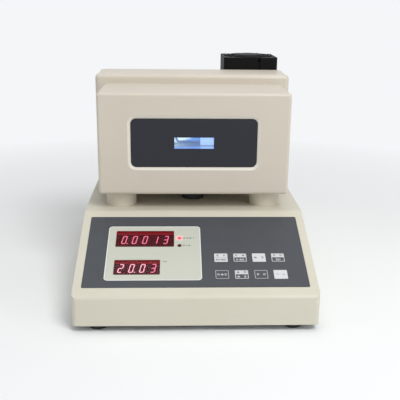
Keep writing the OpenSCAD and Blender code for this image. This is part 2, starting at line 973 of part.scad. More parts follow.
module main_board() {
    color("seagreen")
    difference() {
        union() {
            translate([main_board_x - main_board_w / 2, main_board_y - main_board_d / 2, board_z])
                cube([main_board_w, main_board_d, board_t]);
            for (c = [
                [-45, 20, 24, 24, 3],
                [-45, -20, 18, 18, 3],
                [-10, 20, 14, 20, 4],
                [-10, -25, 20, 10, 4]])
                translate([main_board_x + c[0], main_board_y + c[1], board_z + board_t + c[4] / 2])
                    cube([c[2], c[3], c[4] + 0.4], center = true);
        }
        for (h = main_board_holes)
            translate([h[0], h[1], board_z - eps])
                cylinder(h = board_t + 2 * eps, d = m3 + 2 * hole_gap);
    }
}

module supply_board() {
    color("olivedrab")
    difference() {
        union() {
            translate([supply_x - supply_w / 2, supply_y - supply_d / 2, board_z])
                cube([supply_w, supply_d, board_t]);
            for (c = [[-14, 40, 16, 22], [12, 42, 12, 18], [-14, -40, 12, 20], [10, -42, 18, 14]])
                translate([supply_x + c[0], supply_y + c[1], board_z + board_t - 0.2])
                    cylinder(h = c[3], d = c[2]);
        }
        for (h = supply_holes)
            translate([h[0], h[1], board_z - eps])
                cylinder(h = board_t + 2 * eps, d = m3 + 2 * hole_gap);
    }
}

module supply_transformer() {
    color("peru")
    translate([supply_x, supply_y, board_z + board_t]) {
        translate([-24, -8, 0])
            cube([48, 16, 40]);
        translate([-14, -20, 5])
            cube([28, 40, 30]);
    }
}

// ---- between base and head

module head_columns() {
    color("wheat")
    for (x = [-1, 1])
        translate([x * column_span / 2, column_y, top_z])
            difference() {
                cylinder(h = head_gap, d = column_d);
                translate([0, 0, -eps])
                    cylinder(h = head_gap + 2 * eps, d = m6 + 2 * hole_gap);
            }
}

module column_bolts() {
    nut_h = 5;
    color("gray")
    for (x = [-1, 1])
        translate([x * column_span / 2, column_y, 0]) {
            translate([0, 0, top_z - wall])
                rotate([180, 0, 0])
                    cylinder(h = 4, d = 11.5, $fn = 6);
            translate([0, 0, top_z - wall - 1])
                cylinder(h = head_gap + 2 * wall + nut_h + 2, d = m6);
            translate([0, 0, head_z + wall])
                difference() {
                    cylinder(h = nut_h, d = 11.5, $fn = 6);
                    translate([0, 0, -eps])
                        cylinder(h = nut_h + 2 * eps, d = m6 + 2 * thread_fit);
                }
        }
}

module harness_sleeve() {
    color("black")
    translate([0, sleeve_y, top_z])
        difference() {
            union() {
                cylinder(h = head_gap, d = sleeve_d);
                translate([0, 0, -wall - 1])
                    cylinder(h = head_gap + 2 * wall + 2, d = sleeve_bore - 2 * seat_gap);
            }
            translate([0, 0, -wall - 2])
                cylinder(h = head_gap + 2 * wall + 4, d = sleeve_bore - 5);
        }
}

module head_harness() {
    plug = 12;
    low = board_z + board_t;
    high = label_z - block_h / 2;
    color("gray")
    translate([0, sleeve_y, low]) {
        cylinder(h = high - low, d = harness_d);
        for (z = [0, high - low - plug])
            translate([-13, -5, z])
                cube([26, 10, plug]);
    }
}

module head_gasket() {
    color("dimgray")
    translate([0, rear_y + rear_d / 2, top_z])
        difference() {
            translate([0, 0, gasket_t / 2])
                cube([rear_w - 2 * rear_r, rear_d - 2, gasket_t], center = true);
            translate([0, 0, gasket_t / 2])
                cube([
                    rear_w - 2 * rear_r - 2 * gasket_band,
                    rear_d - 2 - 2 * gasket_band,
                    gasket_t + 2], center = true);
            for (s = floor_screws_at)
                translate([s[0], s[1] - rear_y - rear_d / 2, -eps])
                    cylinder(h = gasket_t + 2 * eps, d = m3 + 2 * hole_gap);
        }
}

// ---- head cases

// Block of w x h x d from y = 0 towards +Y, with radius r on its long and front edges
module soft_block(w, h, d, r) {
    along_y(r, d - r)
        round_rect(w, h, r);
    along_y(0, 2 * r)
        square([w - 2 * r, h - 2 * r], center = true);
    for (x = [-1, 1])
        translate([x * (w / 2 - r), r, -(h / 2 - r)])
            cylinder(h = h - 2 * r, r = r);
    for (z = [-1, 1])
        translate([-(w / 2 - r), r, z * (h / 2 - r)])
            rotate([0, 90, 0])
                cylinder(h = w - 2 * r, r = r);
    for (x = [-1, 1], z = [-1, 1])
        translate([x * (w / 2 - r), r, z * (h / 2 - r)])
            sphere(r);
}

// Cutter for a bevel, c deep and b wide, round an opening of w x h with corners r
module rim_cutter(w, h, r, c, b) {
    reach = c + eps;
    more = b * reach / c;
    for (x = [-1, 1], z = [-1, 1])
        translate([x * (w / 2 - r), c, z * (h / 2 - r)])
            rotate([90, 0, 0])
                cylinder(h = reach, r1 = r, r2 = r + more);
    along_x(w - 2 * r)
        polygon([[c, -h / 2], [c, h / 2], [-eps, h / 2 + more], [-eps, -h / 2 - more]]);
    translate([0, 0, -(h / 2 - r)])
        linear_extrude(h - 2 * r)
            polygon([[-w / 2, c], [w / 2, c], [w / 2 + more, -eps], [-w / 2 - more, -eps]]);
}

module front_box() {
    color("wheat")
    difference() {
        union() {
            difference() {
                translate([0, head_y, head_z + head_h / 2])
                    soft_block(head_w, head_h, head_reach, head_r);
                translate([-head_w / 2 + wall, head_y + front_wall, head_z + wall])
                    cube([head_w - 2 * wall, head_reach, head_h - 2 * wall]);
            }
            for (s = box_screws_at)
                translate([s[0] - boss / 2, rear_y - 20, s[1] - boss / 2])
                    cube([boss, 20, boss]);
        }
        along_y(head_y - 1, label_deep + 1)
            translate([0, label_z])
                round_rect(label_w + 2 * seat_gap, label_h + 2 * seat_gap, label_r);
        translate([0, head_y, label_z])
            rim_cutter(label_w + 2 * seat_gap, label_h + 2 * seat_gap, label_r, label_chamfer, label_bevel);
        along_y(head_y - 1, front_wall + 3)
            translate([0, label_z])
                square([
                    window_w + 2 * pane_rim + 2 * seat_gap,
                    window_h + 2 * pane_rim + 2 * seat_gap], center = true);
        for (s = box_screws_at)
            translate([s[0], rear_y - 12, s[1]])
                rotate([-90, 0, 0])
                    cylinder(h = 13, d = m3 + 2 * thread_fit);
        for (x = [-1, 1])
            translate([x * column_span / 2, column_y, head_z - eps])
                cylinder(h = wall + 1, d = m6 + 2 * hole_gap);
        translate([0, sleeve_y, head_z - eps])
            cylinder(h = wall + 1, d = sleeve_bore);
    }
}

module label_plate() {
    color("darkslategray")
    along_y(head_y + label_deep - label_t, label_t)
        translate([0, label_z])
            difference() {
                round_rect(label_w, label_h, label_r);
                square([window_w, window_h], center = true);
            }
}

module view_window() {
    color("lightblue")
    along_y(head_y + label_deep, pane_t)
        translate([0, label_z])
            square([window_w + 2 * pane_rim, window_h + 2 * pane_rim], center = true);
}

module window_tunnel() {
    start = head_y + front_wall;
    color("black")
    along_y(start, block_y - start)
        translate([0, label_z])
            difference() {
                square([tunnel_w + 2 * tunnel_wall, tunnel_h + 2 * tunnel_wall], center = true);
                square([tunnel_w, tunnel_h], center = true);
            }
}

module rear_housing() {
    h = rear_top - rear_z;
    opening_in = 14;              // front opening inside the front box's outline
    color("wheat")
    difference() {
        union() {
            difference() {
                translate([0, rear_y, rear_z + h / 2])
                    soft_block(rear_w, h, rear_d, rear_r);
                translate([-rear_w / 2 + wall, rear_y + wall, rear_z + wall])
                    cube([rear_w - 2 * wall, rear_d, h - 2 * wall]);
            }
            // ledge that the back cover is drawn against
            difference() {
                translate([-rear_w / 2 + 1, rear_back - sheet_t - ledge, rear_z + 1])
                    cube([rear_w - 2, ledge, h - 2]);
                translate([
                    -rear_w / 2 + wall + ledge_w,
                    rear_back - sheet_t - ledge - 1,
                    rear_z + wall + ledge_w])
                    cube([rear_w - 2 * wall - 2 * ledge_w, ledge + 2, h - 2 * wall - 2 * ledge_w]);
            }
        }
        translate([0, rear_y + wall / 2, head_z + head_h / 2])
            cube([head_w - 2 * opening_in, wall + 2, head_h - 2 * opening_in], center = true);
        for (s = box_screws_at)
            translate([s[0], rear_y - 1, s[1]])
                rotate([-90, 0, 0])
                    cylinder(h = wall + 2, d = m3 + 2 * hole_gap);
        for (s = cover_screws_at)
            translate([s[0], rear_back - sheet_t - ledge - 1, s[1]])
                rotate([-90, 0, 0])
                    cylinder(h = ledge + 2, d = m3 + 2 * thread_fit);
        for (s = floor_screws_at)
            translate([s[0], s[1], rear_z - eps])
                cylinder(h = wall + 1, d = m3 + 2 * hole_gap);
    }
}

module back_cover() {
    h = rear_top - rear_z - 2 * wall - 2 * seat_gap;
    color("lightgray")
    difference() {
        translate([-rear_w / 2 + wall + seat_gap, rear_back - sheet_t, rear_z + wall + seat_gap])
            cube([rear_w - 2 * wall - 2 * seat_gap, sheet_t, h]);
        for (s = cover_screws_at)
            translate([s[0], rear_back - sheet_t - eps, s[1]])
                rotate([-90, 0, 0])
                    cylinder(h = sheet_t + 2 * eps, d = m3 + 2 * hole_gap);
        for (s = duct_screws_at)
            translate([s[0], rear_back - sheet_t - eps, s[1]])
                rotate([-90, 0, 0])
                    cylinder(h = sheet_t + 2 * eps, d = m3 + 2 * thread_fit);
        for (z = [-1, 1])
            translate([port_x, rear_back - sheet_t - eps, label_z + z * port_span / 2])
                rotate([-90, 0, 0])
                    cylinder(h = sheet_t + 2 * eps, d = port_d + 2 * hole_gap);
        translate([pump_x, rear_back - sheet_t / 2, label_z])
            cube([pump_side + 2 * seat_gap, sheet_t + 2, pump_side + 2 * seat_gap], center = true);
    }
}

// ---- measuring cell

module cell_block() {
    color("lightsteelblue")
    difference() {
        translate([block_left, block_y, label_z - block_h / 2])
            cube([block_right - block_left, block_d, block_h]);
        translate([chamber_left, block_y - 2, label_z - chamber_h / 2])
            cube([chamber_right - chamber_left, chamber_deep + 2, chamber_h]);
        for (side = [-1, 1]) {
            leg = label_z + side * tube_span / 2;
            rod([root_x, tube_y, leg], [turn_x - elbow_r, tube_y, leg], line_hole);
            sample_line(side, line_hole);
        }
    }
}

module u_tube() {
    legs_end = turn_x - elbow_r;
    color("lightcyan")
    translate([0, tube_y, label_z]) {
        translate([bend_x, 0, 0])
            rotate([90, 0, 0])
                rotate([0, 0, 90])
                    rotate_extrude(angle = 180)
                        translate([tube_span / 2, 0])
                            difference() {
                                circle(d = tube_d);
                                circle(d = tube_bore);
                            }
        for (z = [-1, 1])
            translate([bend_x, 0, z * tube_span / 2])
                rotate([0, 90, 0])
                    difference() {
                        cylinder(h = legs_end - bend_x, d = tube_d);
                        translate([0, 0, -eps])
                            cylinder(h = legs_end - bend_x + 2 * eps, d = tube_bore);
                    }
    }
}

module tube_root() {
    color("azure")
    difference() {
        translate([root_x, tube_y - root_t / 2, label_z - root_h / 2])
            cube([root_w, root_t, root_h]);
        for (z = [-1, 1])
            translate([root_x - eps, tube_y, label_z + z * tube_span / 2])
                rotate([0, 90, 0])
                    cylinder(h = root_w + 2 * eps, d = tube_d + 2 * thread_fit);
    }
}

module back_light() {
    color("dodgerblue")
    translate([light_x - light_w / 2, block_y + chamber_deep - light_t, label_z - light_h / 2])
        cube([light_w, light_t, light_h]);
}

// Round bend that starts along +Y and turns towards +X
module bend(r, angle, d) {
    translate([r, 0, 0])
        rotate([0, 0, 180])
            rotate_extrude(angle = -angle)
                translate([r, 0])
                    circle(d = d);
}

// Collar that joins two lengths of tubing at a point
module line_union(at, d) {
    translate(at)
        rotate([-90, 0, 0])
            cylinder(h = 6, d = d + 2.4, center = true);
}

// One sample line, from the end of a tube leg to its port; side is -1 below, 1 above
module sample_line(side, d) {
    leg = label_z + side * tube_span / 2;
    port = label_z + side * port_span / 2;
    first = [turn_x, pump_y + 8, leg];
    second = [port_x, rear_back - 40, port];
    translate([turn_x - elbow_r, tube_y, leg])
        rotate([0, 0, -90])
            mirror([1, 0, 0])
                bend(elbow_r, 90, d);
    rod([turn_x, tube_y + elbow_r, leg], first, d);
    rod(first, second, d);
    rod(second, [port_x, rear_back - sheet_t - port_in, port], d);
    line_union(first, d);
    line_union(second, d);
}

module sample_tubes() {
    color("whitesmoke")
    for (side = [-1, 1])
        sample_line(side, sample_tube_d);
}

module sample_ports() {
    color("silver")
    for (z = [-1, 1])
        translate([port_x, rear_back, label_z + z * port_span / 2])
            rotate([-90, 0, 0])
                difference() {
                    union() {
                        cylinder(h = port_hex_t, d = port_hex, $fn = 6);
                        translate([0, 0, -sheet_t - port_in])
                            cylinder(h = sheet_t + port_in + port_l, d = port_d);
                    }
                    translate([0, 0, port_l - port_bore_l])
                        cylinder(h = port_bore_l + 1, d = port_bore);
                    translate([0, 0, -sheet_t - port_in - 1])
                        cylinder(h = port_l + port_in + sheet_t, d = tube_bore);
                }
}

module cell_insulation() {
    left = block_left - foam_left;
    right = block_right + foam;
    color("khaki")
    difference() {
        translate([left, head_y + front_wall, head_z + wall])
            cube([right - left, pump_y - head_y - front_wall, head_h - 2 * wall]);
        translate([block_left, block_y, label_z - block_h / 2])
            cube([block_right - block_left, block_d + 1, block_h]);
        translate([0, block_y - 20, label_z])
            cube([tunnel_w + 2 * tunnel_wall, 44, tunnel_h + 2 * tunnel_wall], center = true);
        for (x = [-1, 1])
            translate([x * column_span / 2, column_y, head_z])
                cylinder(h = wall + 12, d = 16);
        translate([-14, sleeve_y - 13, head_z])
            cube([28, 40, label_z - block_h / 2 - head_z + 1]);
    }
}

module heat_pump() {
    color("white")
    translate([pump_x, pump_y + pump_t / 2, label_z])
        cube([pump_side, pump_t, pump_side], center = true);
}

module heat_spreader() {
    l = duct_y + duct_wall - spreader_y;
    color("silver")
    translate([pump_x, spreader_y + l / 2, label_z])
        cube([pump_side, l, pump_side], center = true);
}

// ---- cooling

module heat_sink() {
    color("silver")
    translate([fan_x, duct_y + duct_wall, label_z - sink_h / 2])
        linear_extrude(sink_h) {
            translate([-sink_w / 2, 0])
                square([sink_w, sink_base_t]);
            for (i = [0 : fin_count - 1])
                translate([-sink_w / 2 + i * (sink_w - fin_t) / (fin_count - 1), 0])
                    square([fin_t, sink_base_t + fin_len]);
        }
}

module fan_duct() {
    color("dimgray")
    difference() {
        translate([fan_x - duct_side / 2, duct_y, top_z])
            cube([duct_side, duct_d, fan_z - top_z]);
        translate([fan_x - duct_side / 2 + duct_wall, duct_y + duct_wall, top_z - 1])
            cube([duct_side - 2 * duct_wall, duct_d - 2 * duct_wall, fan_z - top_z - duct_top_t + 1]);
        translate([fan_x, fan_y, fan_z - duct_top_t - 1])
            cylinder(h = duct_top_t + 2, d = fan_bore - 2);
        for (x = [-1, 1], y = [-1, 1])
            translate([fan_x + x * fan_holes / 2, fan_y + y * fan_holes / 2, fan_z - duct_top_t - 1])
                cylinder(h = duct_top_t + 2, d = m4 + 2 * thread_fit);
        for (s = duct_screws_at)
            translate([s[0], duct_y - 1, s[1]])
                rotate([-90, 0, 0])
                    cylinder(h = duct_wall + 2, d = m3 + 2 * hole_gap);
        translate([pump_x, duct_y, label_z])
            cube([pump_side + 2 * seat_gap, 2 * duct_wall, pump_side + 2 * seat_gap], center = true);
        // air inlets low in both sides
        for (y = [duct_y + 16 : 11 : duct_y + duct_d - 10])
            translate([fan_x, y, top_z + 24])
                cube([duct_side + 2, 4, 28], center = true);
    }
}

module fan_frame() {
    lead_x = 12.8;                // lead slot from the middle of the fan
    lead_w = 3.6;
    color("black")
    translate([fan_x, fan_y, fan_z])
        difference() {
            union() {
                difference() {
                    round_slab(fan_side, fan_side, 4, 0, fan_h);
                    translate([0, 0, -eps])
                        cylinder(h = fan_h + 2 * eps, d = fan_bore);
                }
                cylinder(h = strut_t, d = hub_d);
                for (a = [0, 90])
                    rotate([0, 0, a + 45])
                        translate([-fan_bore / 2 - 1, -2, 0])
                            cube([fan_bore + 2, 4, strut_t]);
                cylinder(h = 13, d = 8);
            }
            translate([0, 0, 1.2])
                cylinder(h = 14, d = shaft_d + 2 * run_fit);
            for (x = [-1, 1], y = [-1, 1])
                translate([x * fan_holes / 2, y * fan_holes / 2, -eps])
                    cylinder(h = fan_h + 2 * eps, d = m4 + 2 * hole_gap);
            for (x = [-1, 1], y = [-1, 1])
                translate([x * fan_holes / 2, y * fan_holes / 2, fan_h - fan_head_sink])
                    cylinder(h = fan_head_sink + eps, d = fan_head_d + 0.6);
            translate([0, 0, fan_h - wire_d])
                cylinder(h = wire_d + eps, r = rebate_r);
            translate([lead_x - lead_w / 2, -fan_side / 2 - 1, -eps])
                cube([lead_w, 2.8, fan_h + 2 * eps]);
            translate([lead_x, -fan_side / 2 - 1, fan_h - 5])
                rotate([-90, 0, 0])
                    cylinder(h = 6, d = 4.8);
        }
}

module fan_rotor() {
    blade_chord = 17;
    blade_t = 1.4;
    tip = fan_bore / 2 - 1.2;
    color("black")
    translate([fan_x, fan_y, fan_z]) {
        difference() {
            translate([0, 0, 5])
                cylinder(h = hub_h + 1, d = hub_d);
            translate([0, 0, 4])
                cylinder(h = hub_h, d = hub_d - 4);
        }
        translate([0, 0, 1.5])
            cylinder(h = hub_h + 4, d = shaft_d);
        intersection() {
            cylinder(h = fan_h, r = tip);
            for (i = [0 : fan_blades - 1])
                rotate([0, 0, i * 360 / fan_blades])
                    translate([hub_d / 2 - 0.8, 0, 14])
                        rotate([45, 0, 0])
                            translate([0, -blade_chord / 2, -blade_t / 2])
                                cube([tip, blade_chord, blade_t]);
        }
    }
}

module fan_guard() {
    arm_d = 2;
    low = -0.5;
    high = 2.2;
    out = rebate_r - run_fit - wire_d / 2;
    into = guard_disc_d / 2 - 2;
    cap_h = 1.8;
    cap_r = (pow(guard_disc_d / 2, 2) + cap_h * cap_h) / (2 * cap_h);
    color("black")
    translate([fan_x, fan_y, fan_top]) {
        rotate_extrude()
            intersection() {
                translate([0, guard_h - cap_r])
                    circle(cap_r, $fn = 200);
                translate([0, 1.4])
                    square([guard_disc_d / 2, guard_h]);
            }
        rotate_extrude()
            translate([out - wire_d / 2, -wire_d])
                square([wire_d, wire_d]);
        for (r = [out - 5 : -5 : guard_disc_d / 2 + 2])
            translate([0, 0, low + 0.3 + (out - r) / (out - into) * (high - low)])
                rotate_extrude($fn = 48)
                    translate([r, 0])
                        circle(d = wire_d, $fn = 14);
        for (a = [45 : 90 : 315])
            rotate([0, 0, a])
                rod([out, 0, low], [into, 0, high], arm_d);
    }
}

module fan_screws() {
    color("silver")
    for (x = [-1, 1], y = [-1, 1])
        translate([fan_x + x * fan_holes / 2, fan_y + y * fan_holes / 2, fan_top - fan_head_sink])
            pan_screw(m4, fan_h - fan_head_sink + duct_top_t + 2, fan_head_d, fan_head_h);
}

// All M3 screws of the cases: bottom plate, rear panel, front box, back cover, duct and housing
module case_screws() {
    color("gray") {
        for (s = plate_screws)
            translate([s[0], s[1], foot_h])
                rotate([180, 0, 0])
                    pan_screw(m3, screw_l);
        for (s = rear_screws_at)
            translate([s[0], panel_y + sheet_t, s[1]])
                rotate([-90, 0, 0])
                    pan_screw(m3, screw_l);
        for (s = box_screws_at)
            translate([s[0], rear_y + wall, s[1]])
                rotate([-90, 0, 0])
                    pan_screw(m3, screw_l);
        for (s = cover_screws_at)
            translate([s[0], rear_back, s[1]])
                rotate([-90, 0, 0])
                    pan_screw(m3, screw_l);
        for (s = duct_screws_at)
            translate([s[0], duct_y + duct_wall, s[1]])
                rotate([-90, 0, 0])
                    pan_screw(m3, screw_l);
        for (s = floor_screws_at)
            translate([s[0], s[1], rear_z + wall])
                pan_screw(m3, screw_l);
    }
}

base_shell();
base_plate();
rubber_feet();
foot_screws();
case_screws();
rear_panel();
mains_inlet();
inlet_pins();
fuse_holder();
switch_frame();
power_rocker();
panel_overlay();
display_bezel();
display_filters();
density_display();
density_digits();
temperature_display();
temperature_digits();
unit_lamps();
key_1();
key_2();
key_3();
key_4();
key_5();
key_6();
key_7();
key_8();
key_switches();
panel_board();
board_screws();
main_board();
board_spacers();
supply_board();
supply_transformer();
head_columns();
column_bolts();
harness_sleeve();
head_harness();
head_gasket();
front_box();
label_plate();
view_window();
window_tunnel();
cell_insulation();
cell_block();
u_tube();
tube_root();
back_light();
sample_tubes();
sample_ports();
heat_pump();
heat_spreader();
rear_housing();
back_cover();
heat_sink();
fan_duct();
fan_frame();
fan_rotor();
fan_guard();
fan_screws();
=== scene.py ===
import math

import bmesh
import bpy
from mathutils import Matrix, Vector


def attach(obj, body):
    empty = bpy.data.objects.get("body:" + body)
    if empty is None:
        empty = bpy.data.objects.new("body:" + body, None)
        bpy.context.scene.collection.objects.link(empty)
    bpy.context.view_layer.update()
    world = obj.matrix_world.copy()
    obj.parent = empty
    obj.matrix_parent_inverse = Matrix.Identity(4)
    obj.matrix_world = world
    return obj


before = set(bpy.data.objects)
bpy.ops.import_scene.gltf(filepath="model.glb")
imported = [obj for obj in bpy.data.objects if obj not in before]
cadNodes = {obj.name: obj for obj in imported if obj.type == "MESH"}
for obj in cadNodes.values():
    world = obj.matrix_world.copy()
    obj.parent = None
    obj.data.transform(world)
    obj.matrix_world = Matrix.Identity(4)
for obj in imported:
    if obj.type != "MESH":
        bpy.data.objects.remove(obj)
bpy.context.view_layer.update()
mm = 0.001
print("frame loaded,", len(cadNodes), "CAD nodes")


def linear(colour):  # colour as seen, 0 to 255, to the values a shader takes
    out = []
    for value in colour:
        share = value / 255
        out.append(share / 12.92 if share <= 0.04045 else ((share + 0.055) / 1.055) ** 2.4)
    return (*out, 1.0)


def addObject(name, data):
    thing = bpy.data.objects.new(name, data)
    bpy.context.scene.collection.objects.link(thing)
    return thing


# camera, at the place and angle of the photograph

cameraPlace = {
    "location": (-0.02338, -0.88613, 0.35875),
    "down": 16.553,  # degrees below level
    "turn": 2.183,   # degrees towards +X
    "roll": 0.6295,
    "lens": 59.97,
    "sensor": 36.0,
}


def placeCamera(place):
    down = math.radians(place["down"])
    turn = math.radians(place["turn"])
    roll = math.radians(place["roll"])
    ahead = Vector((
        math.sin(turn) * math.cos(down),
        math.cos(turn) * math.cos(down),
        -math.sin(down)))
    level = Vector((math.cos(turn), -math.sin(turn), 0))
    above = level.cross(ahead)
    right = level * math.cos(roll) + above * math.sin(roll)
    up = above * math.cos(roll) - level * math.sin(roll)
    data = bpy.data.cameras.new("benchCamera")
    data.lens = place["lens"]
    data.sensor_width = place["sensor"]
    data.clip_start = 0.01
    data.clip_end = 50
    camera = addObject("benchCamera", data)
    axes = Matrix((right, up, -ahead)).transposed()
    camera.matrix_world = Matrix.Translation(place["location"]) @ axes.to_4x4()
    bpy.context.scene.camera = camera


placeCamera(cameraPlace)
bpy.context.scene.view_settings.view_transform = "Standard"
print("camera placed")


# shader nodes

def addPlace(tree):  # the object's own coordinates, which are metres of the shared frame
    return tree.nodes.new("ShaderNodeTexCoord").outputs["Object"]


def addMath(tree, operation, first, second=None, clamp=False):
    node = tree.nodes.new("ShaderNodeMath")
    node.operation = operation
    node.use_clamp = clamp
    for index, value in enumerate((first, second)):
        if value is None:
            continue
        if isinstance(value, (int, float)):
            node.inputs[index].default_value = value
        else:
            tree.links.new(value, node.inputs[index])
    return node.outputs[0]


def addRange(tree, value, low, high, outLow, outHigh):
    node = tree.nodes.new("ShaderNodeMapRange")
    node.clamp = True
    for label, given in (
            ("Value", value), ("From Min", low), ("From Max", high),
            ("To Min", outLow), ("To Max", outHigh)):
        if isinstance(given, (int, float)):
            node.inputs[label].default_value = given
        else:
            tree.links.new(given, node.inputs[label])
    return node.outputs["Result"]


def addNoise(tree, place, scale, detail=3.0, rough=0.55):
    node = tree.nodes.new("ShaderNodeTexNoise")
    tree.links.new(place, node.inputs["Vector"])
    if isinstance(scale, (int, float)):
        node.inputs["Scale"].default_value = scale
    else:
        tree.links.new(scale, node.inputs["Scale"])
    node.inputs["Detail"].default_value = detail
    node.inputs["Roughness"].default_value = rough
    return node.outputs["Fac"]


def addGroup(tree, group, **values):
    node = tree.nodes.new("ShaderNodeGroup")
    node.node_tree = group
    for label, value in values.items():
        node.inputs[label.replace("_", " ")].default_value = value
    return node


def addMix(tree, share, first, second):
    node = tree.nodes.new("ShaderNodeMix")
    node.data_type = "RGBA"
    tree.links.new(share, node.inputs["Factor"])
    for socket, value in ((node.inputs[6], first), (node.inputs[7], second)):
        if isinstance(value, tuple):
            socket.default_value = value
        else:
            tree.links.new(value, socket)
    return node.outputs[2]


def addSeenRays(tree):  # 1 for what is seen directly, mirrored or through something clear
    rays = tree.nodes.new("ShaderNodeLightPath")
    seen = addMath(tree, "MAXIMUM", rays.outputs["Is Camera Ray"], rays.outputs["Is Glossy Ray"])
    return addMath(tree, "MAXIMUM", seen, rays.outputs["Is Transmission Ray"])


# light, world and floor

studio = {
    "fill": 0.36,            # world light on the object
    "backdrop": (244, 246, 248),
    "lamps": [               # name, place, aimed at, size, watts
        ("frontLamp", (0.75, -1.35, 1.95), (0, 0, 0.1), 1.0, 29.0),
        ("leftLamp", (-1.6, -0.9, 1.1), (0, 0, 0.12), 1.2, 3.5),
        ("rightLamp", (1.5, -1.2, 0.75), (0, 0, 0.16), 0.7, 5.5),
        ("topLamp", (0.1, 0.25, 1.9), (0, 0, 0.1), 1.6, 7.5),
    ],
    "floor": (243, 245, 246),
    "floorSize": 40.0,
    "fadeFrom": 0.42,        # metres from the middle, where the floor starts to fade out
    "fadeTo": 0.95,
    "floorParts": 8,
}


def makeLamp(name, place, target, size, watts):
    data = bpy.data.lights.new(name, "AREA")
    data.shape = "DISK"
    data.size = size
    data.energy = watts
    lamp = addObject(name, data)
    lamp.location = place
    lamp.rotation_euler = (Vector(target) - Vector(place)).to_track_quat("-Z", "Y").to_euler()


def makeWorld(values):  # soft light on the object, a plain backdrop where the world is seen
    world = bpy.data.worlds.new("studioWorld")
    bpy.context.scene.world = world
    world.use_nodes = True
    tree = world.node_tree
    tree.nodes.clear()
    output = tree.nodes.new("ShaderNodeOutputWorld")
    mixed = tree.nodes.new("ShaderNodeMixShader")
    soft = tree.nodes.new("ShaderNodeBackground")
    seen = tree.nodes.new("ShaderNodeBackground")
    soft.inputs["Color"].default_value = (1, 1, 1, 1)
    soft.inputs["Strength"].default_value = values["fill"]
    seen.inputs["Color"].default_value = linear(values["backdrop"])
    seen.inputs["Strength"].default_value = 1.0
    tree.links.new(addSeenRays(tree), mixed.inputs[0])
    tree.links.new(soft.outputs[0], mixed.inputs[1])
    tree.links.new(seen.outputs[0], mixed.inputs[2])
    tree.links.new(mixed.outputs[0], output.inputs[0])


makeWorld(studio)
for lampValues in studio["lamps"]:
    makeLamp(*lampValues)
print("light set")


# shader groups that the finishes share

def newGroup(name, inputs, outputs):
    group = bpy.data.node_groups.new(name, "ShaderNodeTree")
    for label, kind, value in inputs:
        socket = group.interface.new_socket(label, in_out="INPUT", socket_type="NodeSocket" + kind)
        socket.default_value = value
    for label, kind in outputs:
        group.interface.new_socket(label, in_out="OUTPUT", socket_type="NodeSocket" + kind)
    return group, group.nodes.new("NodeGroupInput"), group.nodes.new("NodeGroupOutput")


reliefValues = {"bevelSamples": 4, "rippleScale": 14.0, "edgeTurn": (0.02, 0.22)}


def makeReliefGroup(values):  # softened edges and a fine moulded or painted grain
    group, given, made = newGroup(
        "surfaceRelief",
        [("Edge Radius", "Float", 0.0005), ("Grain Size", "Float", 0.0008),
         ("Grain Height", "Float", 0.00003), ("Ripple Height", "Float", 0.0)],
        [("Normal", "Vector"), ("Edge", "Float"), ("Grain", "Float")])
    place = addPlace(group)
    rounded = group.nodes.new("ShaderNodeBevel")
    rounded.samples = values["bevelSamples"]
    group.links.new(given.outputs["Edge Radius"], rounded.inputs["Radius"])
    scale = addMath(group, "DIVIDE", 1.0, given.outputs["Grain Size"])
    grain = addNoise(group, place, scale, detail=2.0, rough=0.6)
    ripple = addNoise(group, place, values["rippleScale"], detail=1.0, rough=0.4)
    raised = addMath(group, "MULTIPLY", grain, given.outputs["Grain Height"])
    waved = addMath(group, "MULTIPLY", ripple, given.outputs["Ripple Height"])
    bump = group.nodes.new("ShaderNodeBump")
    bump.inputs["Strength"].default_value = 1.0
    bump.inputs["Distance"].default_value = 1.0
    group.links.new(addMath(group, "ADD", raised, waved), bump.inputs["Height"])
    group.links.new(rounded.outputs["Normal"], bump.inputs["Normal"])
    flat = group.nodes.new("ShaderNodeNewGeometry").outputs["Normal"]
    dot = group.nodes.new("ShaderNodeVectorMath")
    dot.operation = "DOT_PRODUCT"
    group.links.new(rounded.outputs["Normal"], dot.inputs[0])
    group.links.new(flat, dot.inputs[1])
    turned = addMath(group, "SUBTRACT", 1.0, dot.outputs["Value"])
    group.links.new(bump.outputs["Normal"], made.inputs["Normal"])
    edge = addRange(group, turned, *values["edgeTurn"], 0.0, 1.0)
    group.links.new(edge, made.inputs["Edge"])
    group.links.new(grain, made.inputs["Grain"])
    return group


mottleValues = {
    # noise levels, from clear to full
    "patches": (0.3, 0.7), "specks": (0.62, 0.74), "rubs": (0.6, 0.78),
    # of the rubbed streaks
    "stretch": (9.0, 60.0, 240.0), "turn": (0.2, 0.5, 0.35),
}


def makeMottleGroup(values):  # broad patches, fine specks and a few rubbed streaks
    group, given, made = newGroup(
        "surfaceMottle",
        [("Patch Size", "Float", 0.05), ("Speck Size", "Float", 0.0012)],
        [("Patches", "Float"), ("Specks", "Float"), ("Rubs", "Float")])
    place = addPlace(group)
    patchScale = addMath(group, "DIVIDE", 1.0, given.outputs["Patch Size"])
    speckScale = addMath(group, "DIVIDE", 1.0, given.outputs["Speck Size"])
    patches = addNoise(group, place, patchScale)
    specks = addNoise(group, place, speckScale, detail=1.0)
    stretched = group.nodes.new("ShaderNodeMapping")
    stretched.inputs["Scale"].default_value = values["stretch"]
    stretched.inputs["Rotation"].default_value = values["turn"]
    group.links.new(place, stretched.inputs["Vector"])
    rubs = addNoise(group, stretched.outputs["Vector"], 1.0, detail=4.0, rough=0.7)
    for label, noise in (("Patches", patches), ("Specks", specks), ("Rubs", rubs)):
        levels = values[label.lower()]
        group.links.new(addRange(group, noise, *levels, 0.0, 1.0), made.inputs[label])
    return group


dustValues = {"facingUp": (0.25, 0.95), "cloudScale": 38.0, "clouds": (0.35, 0.75), "least": 0.15}


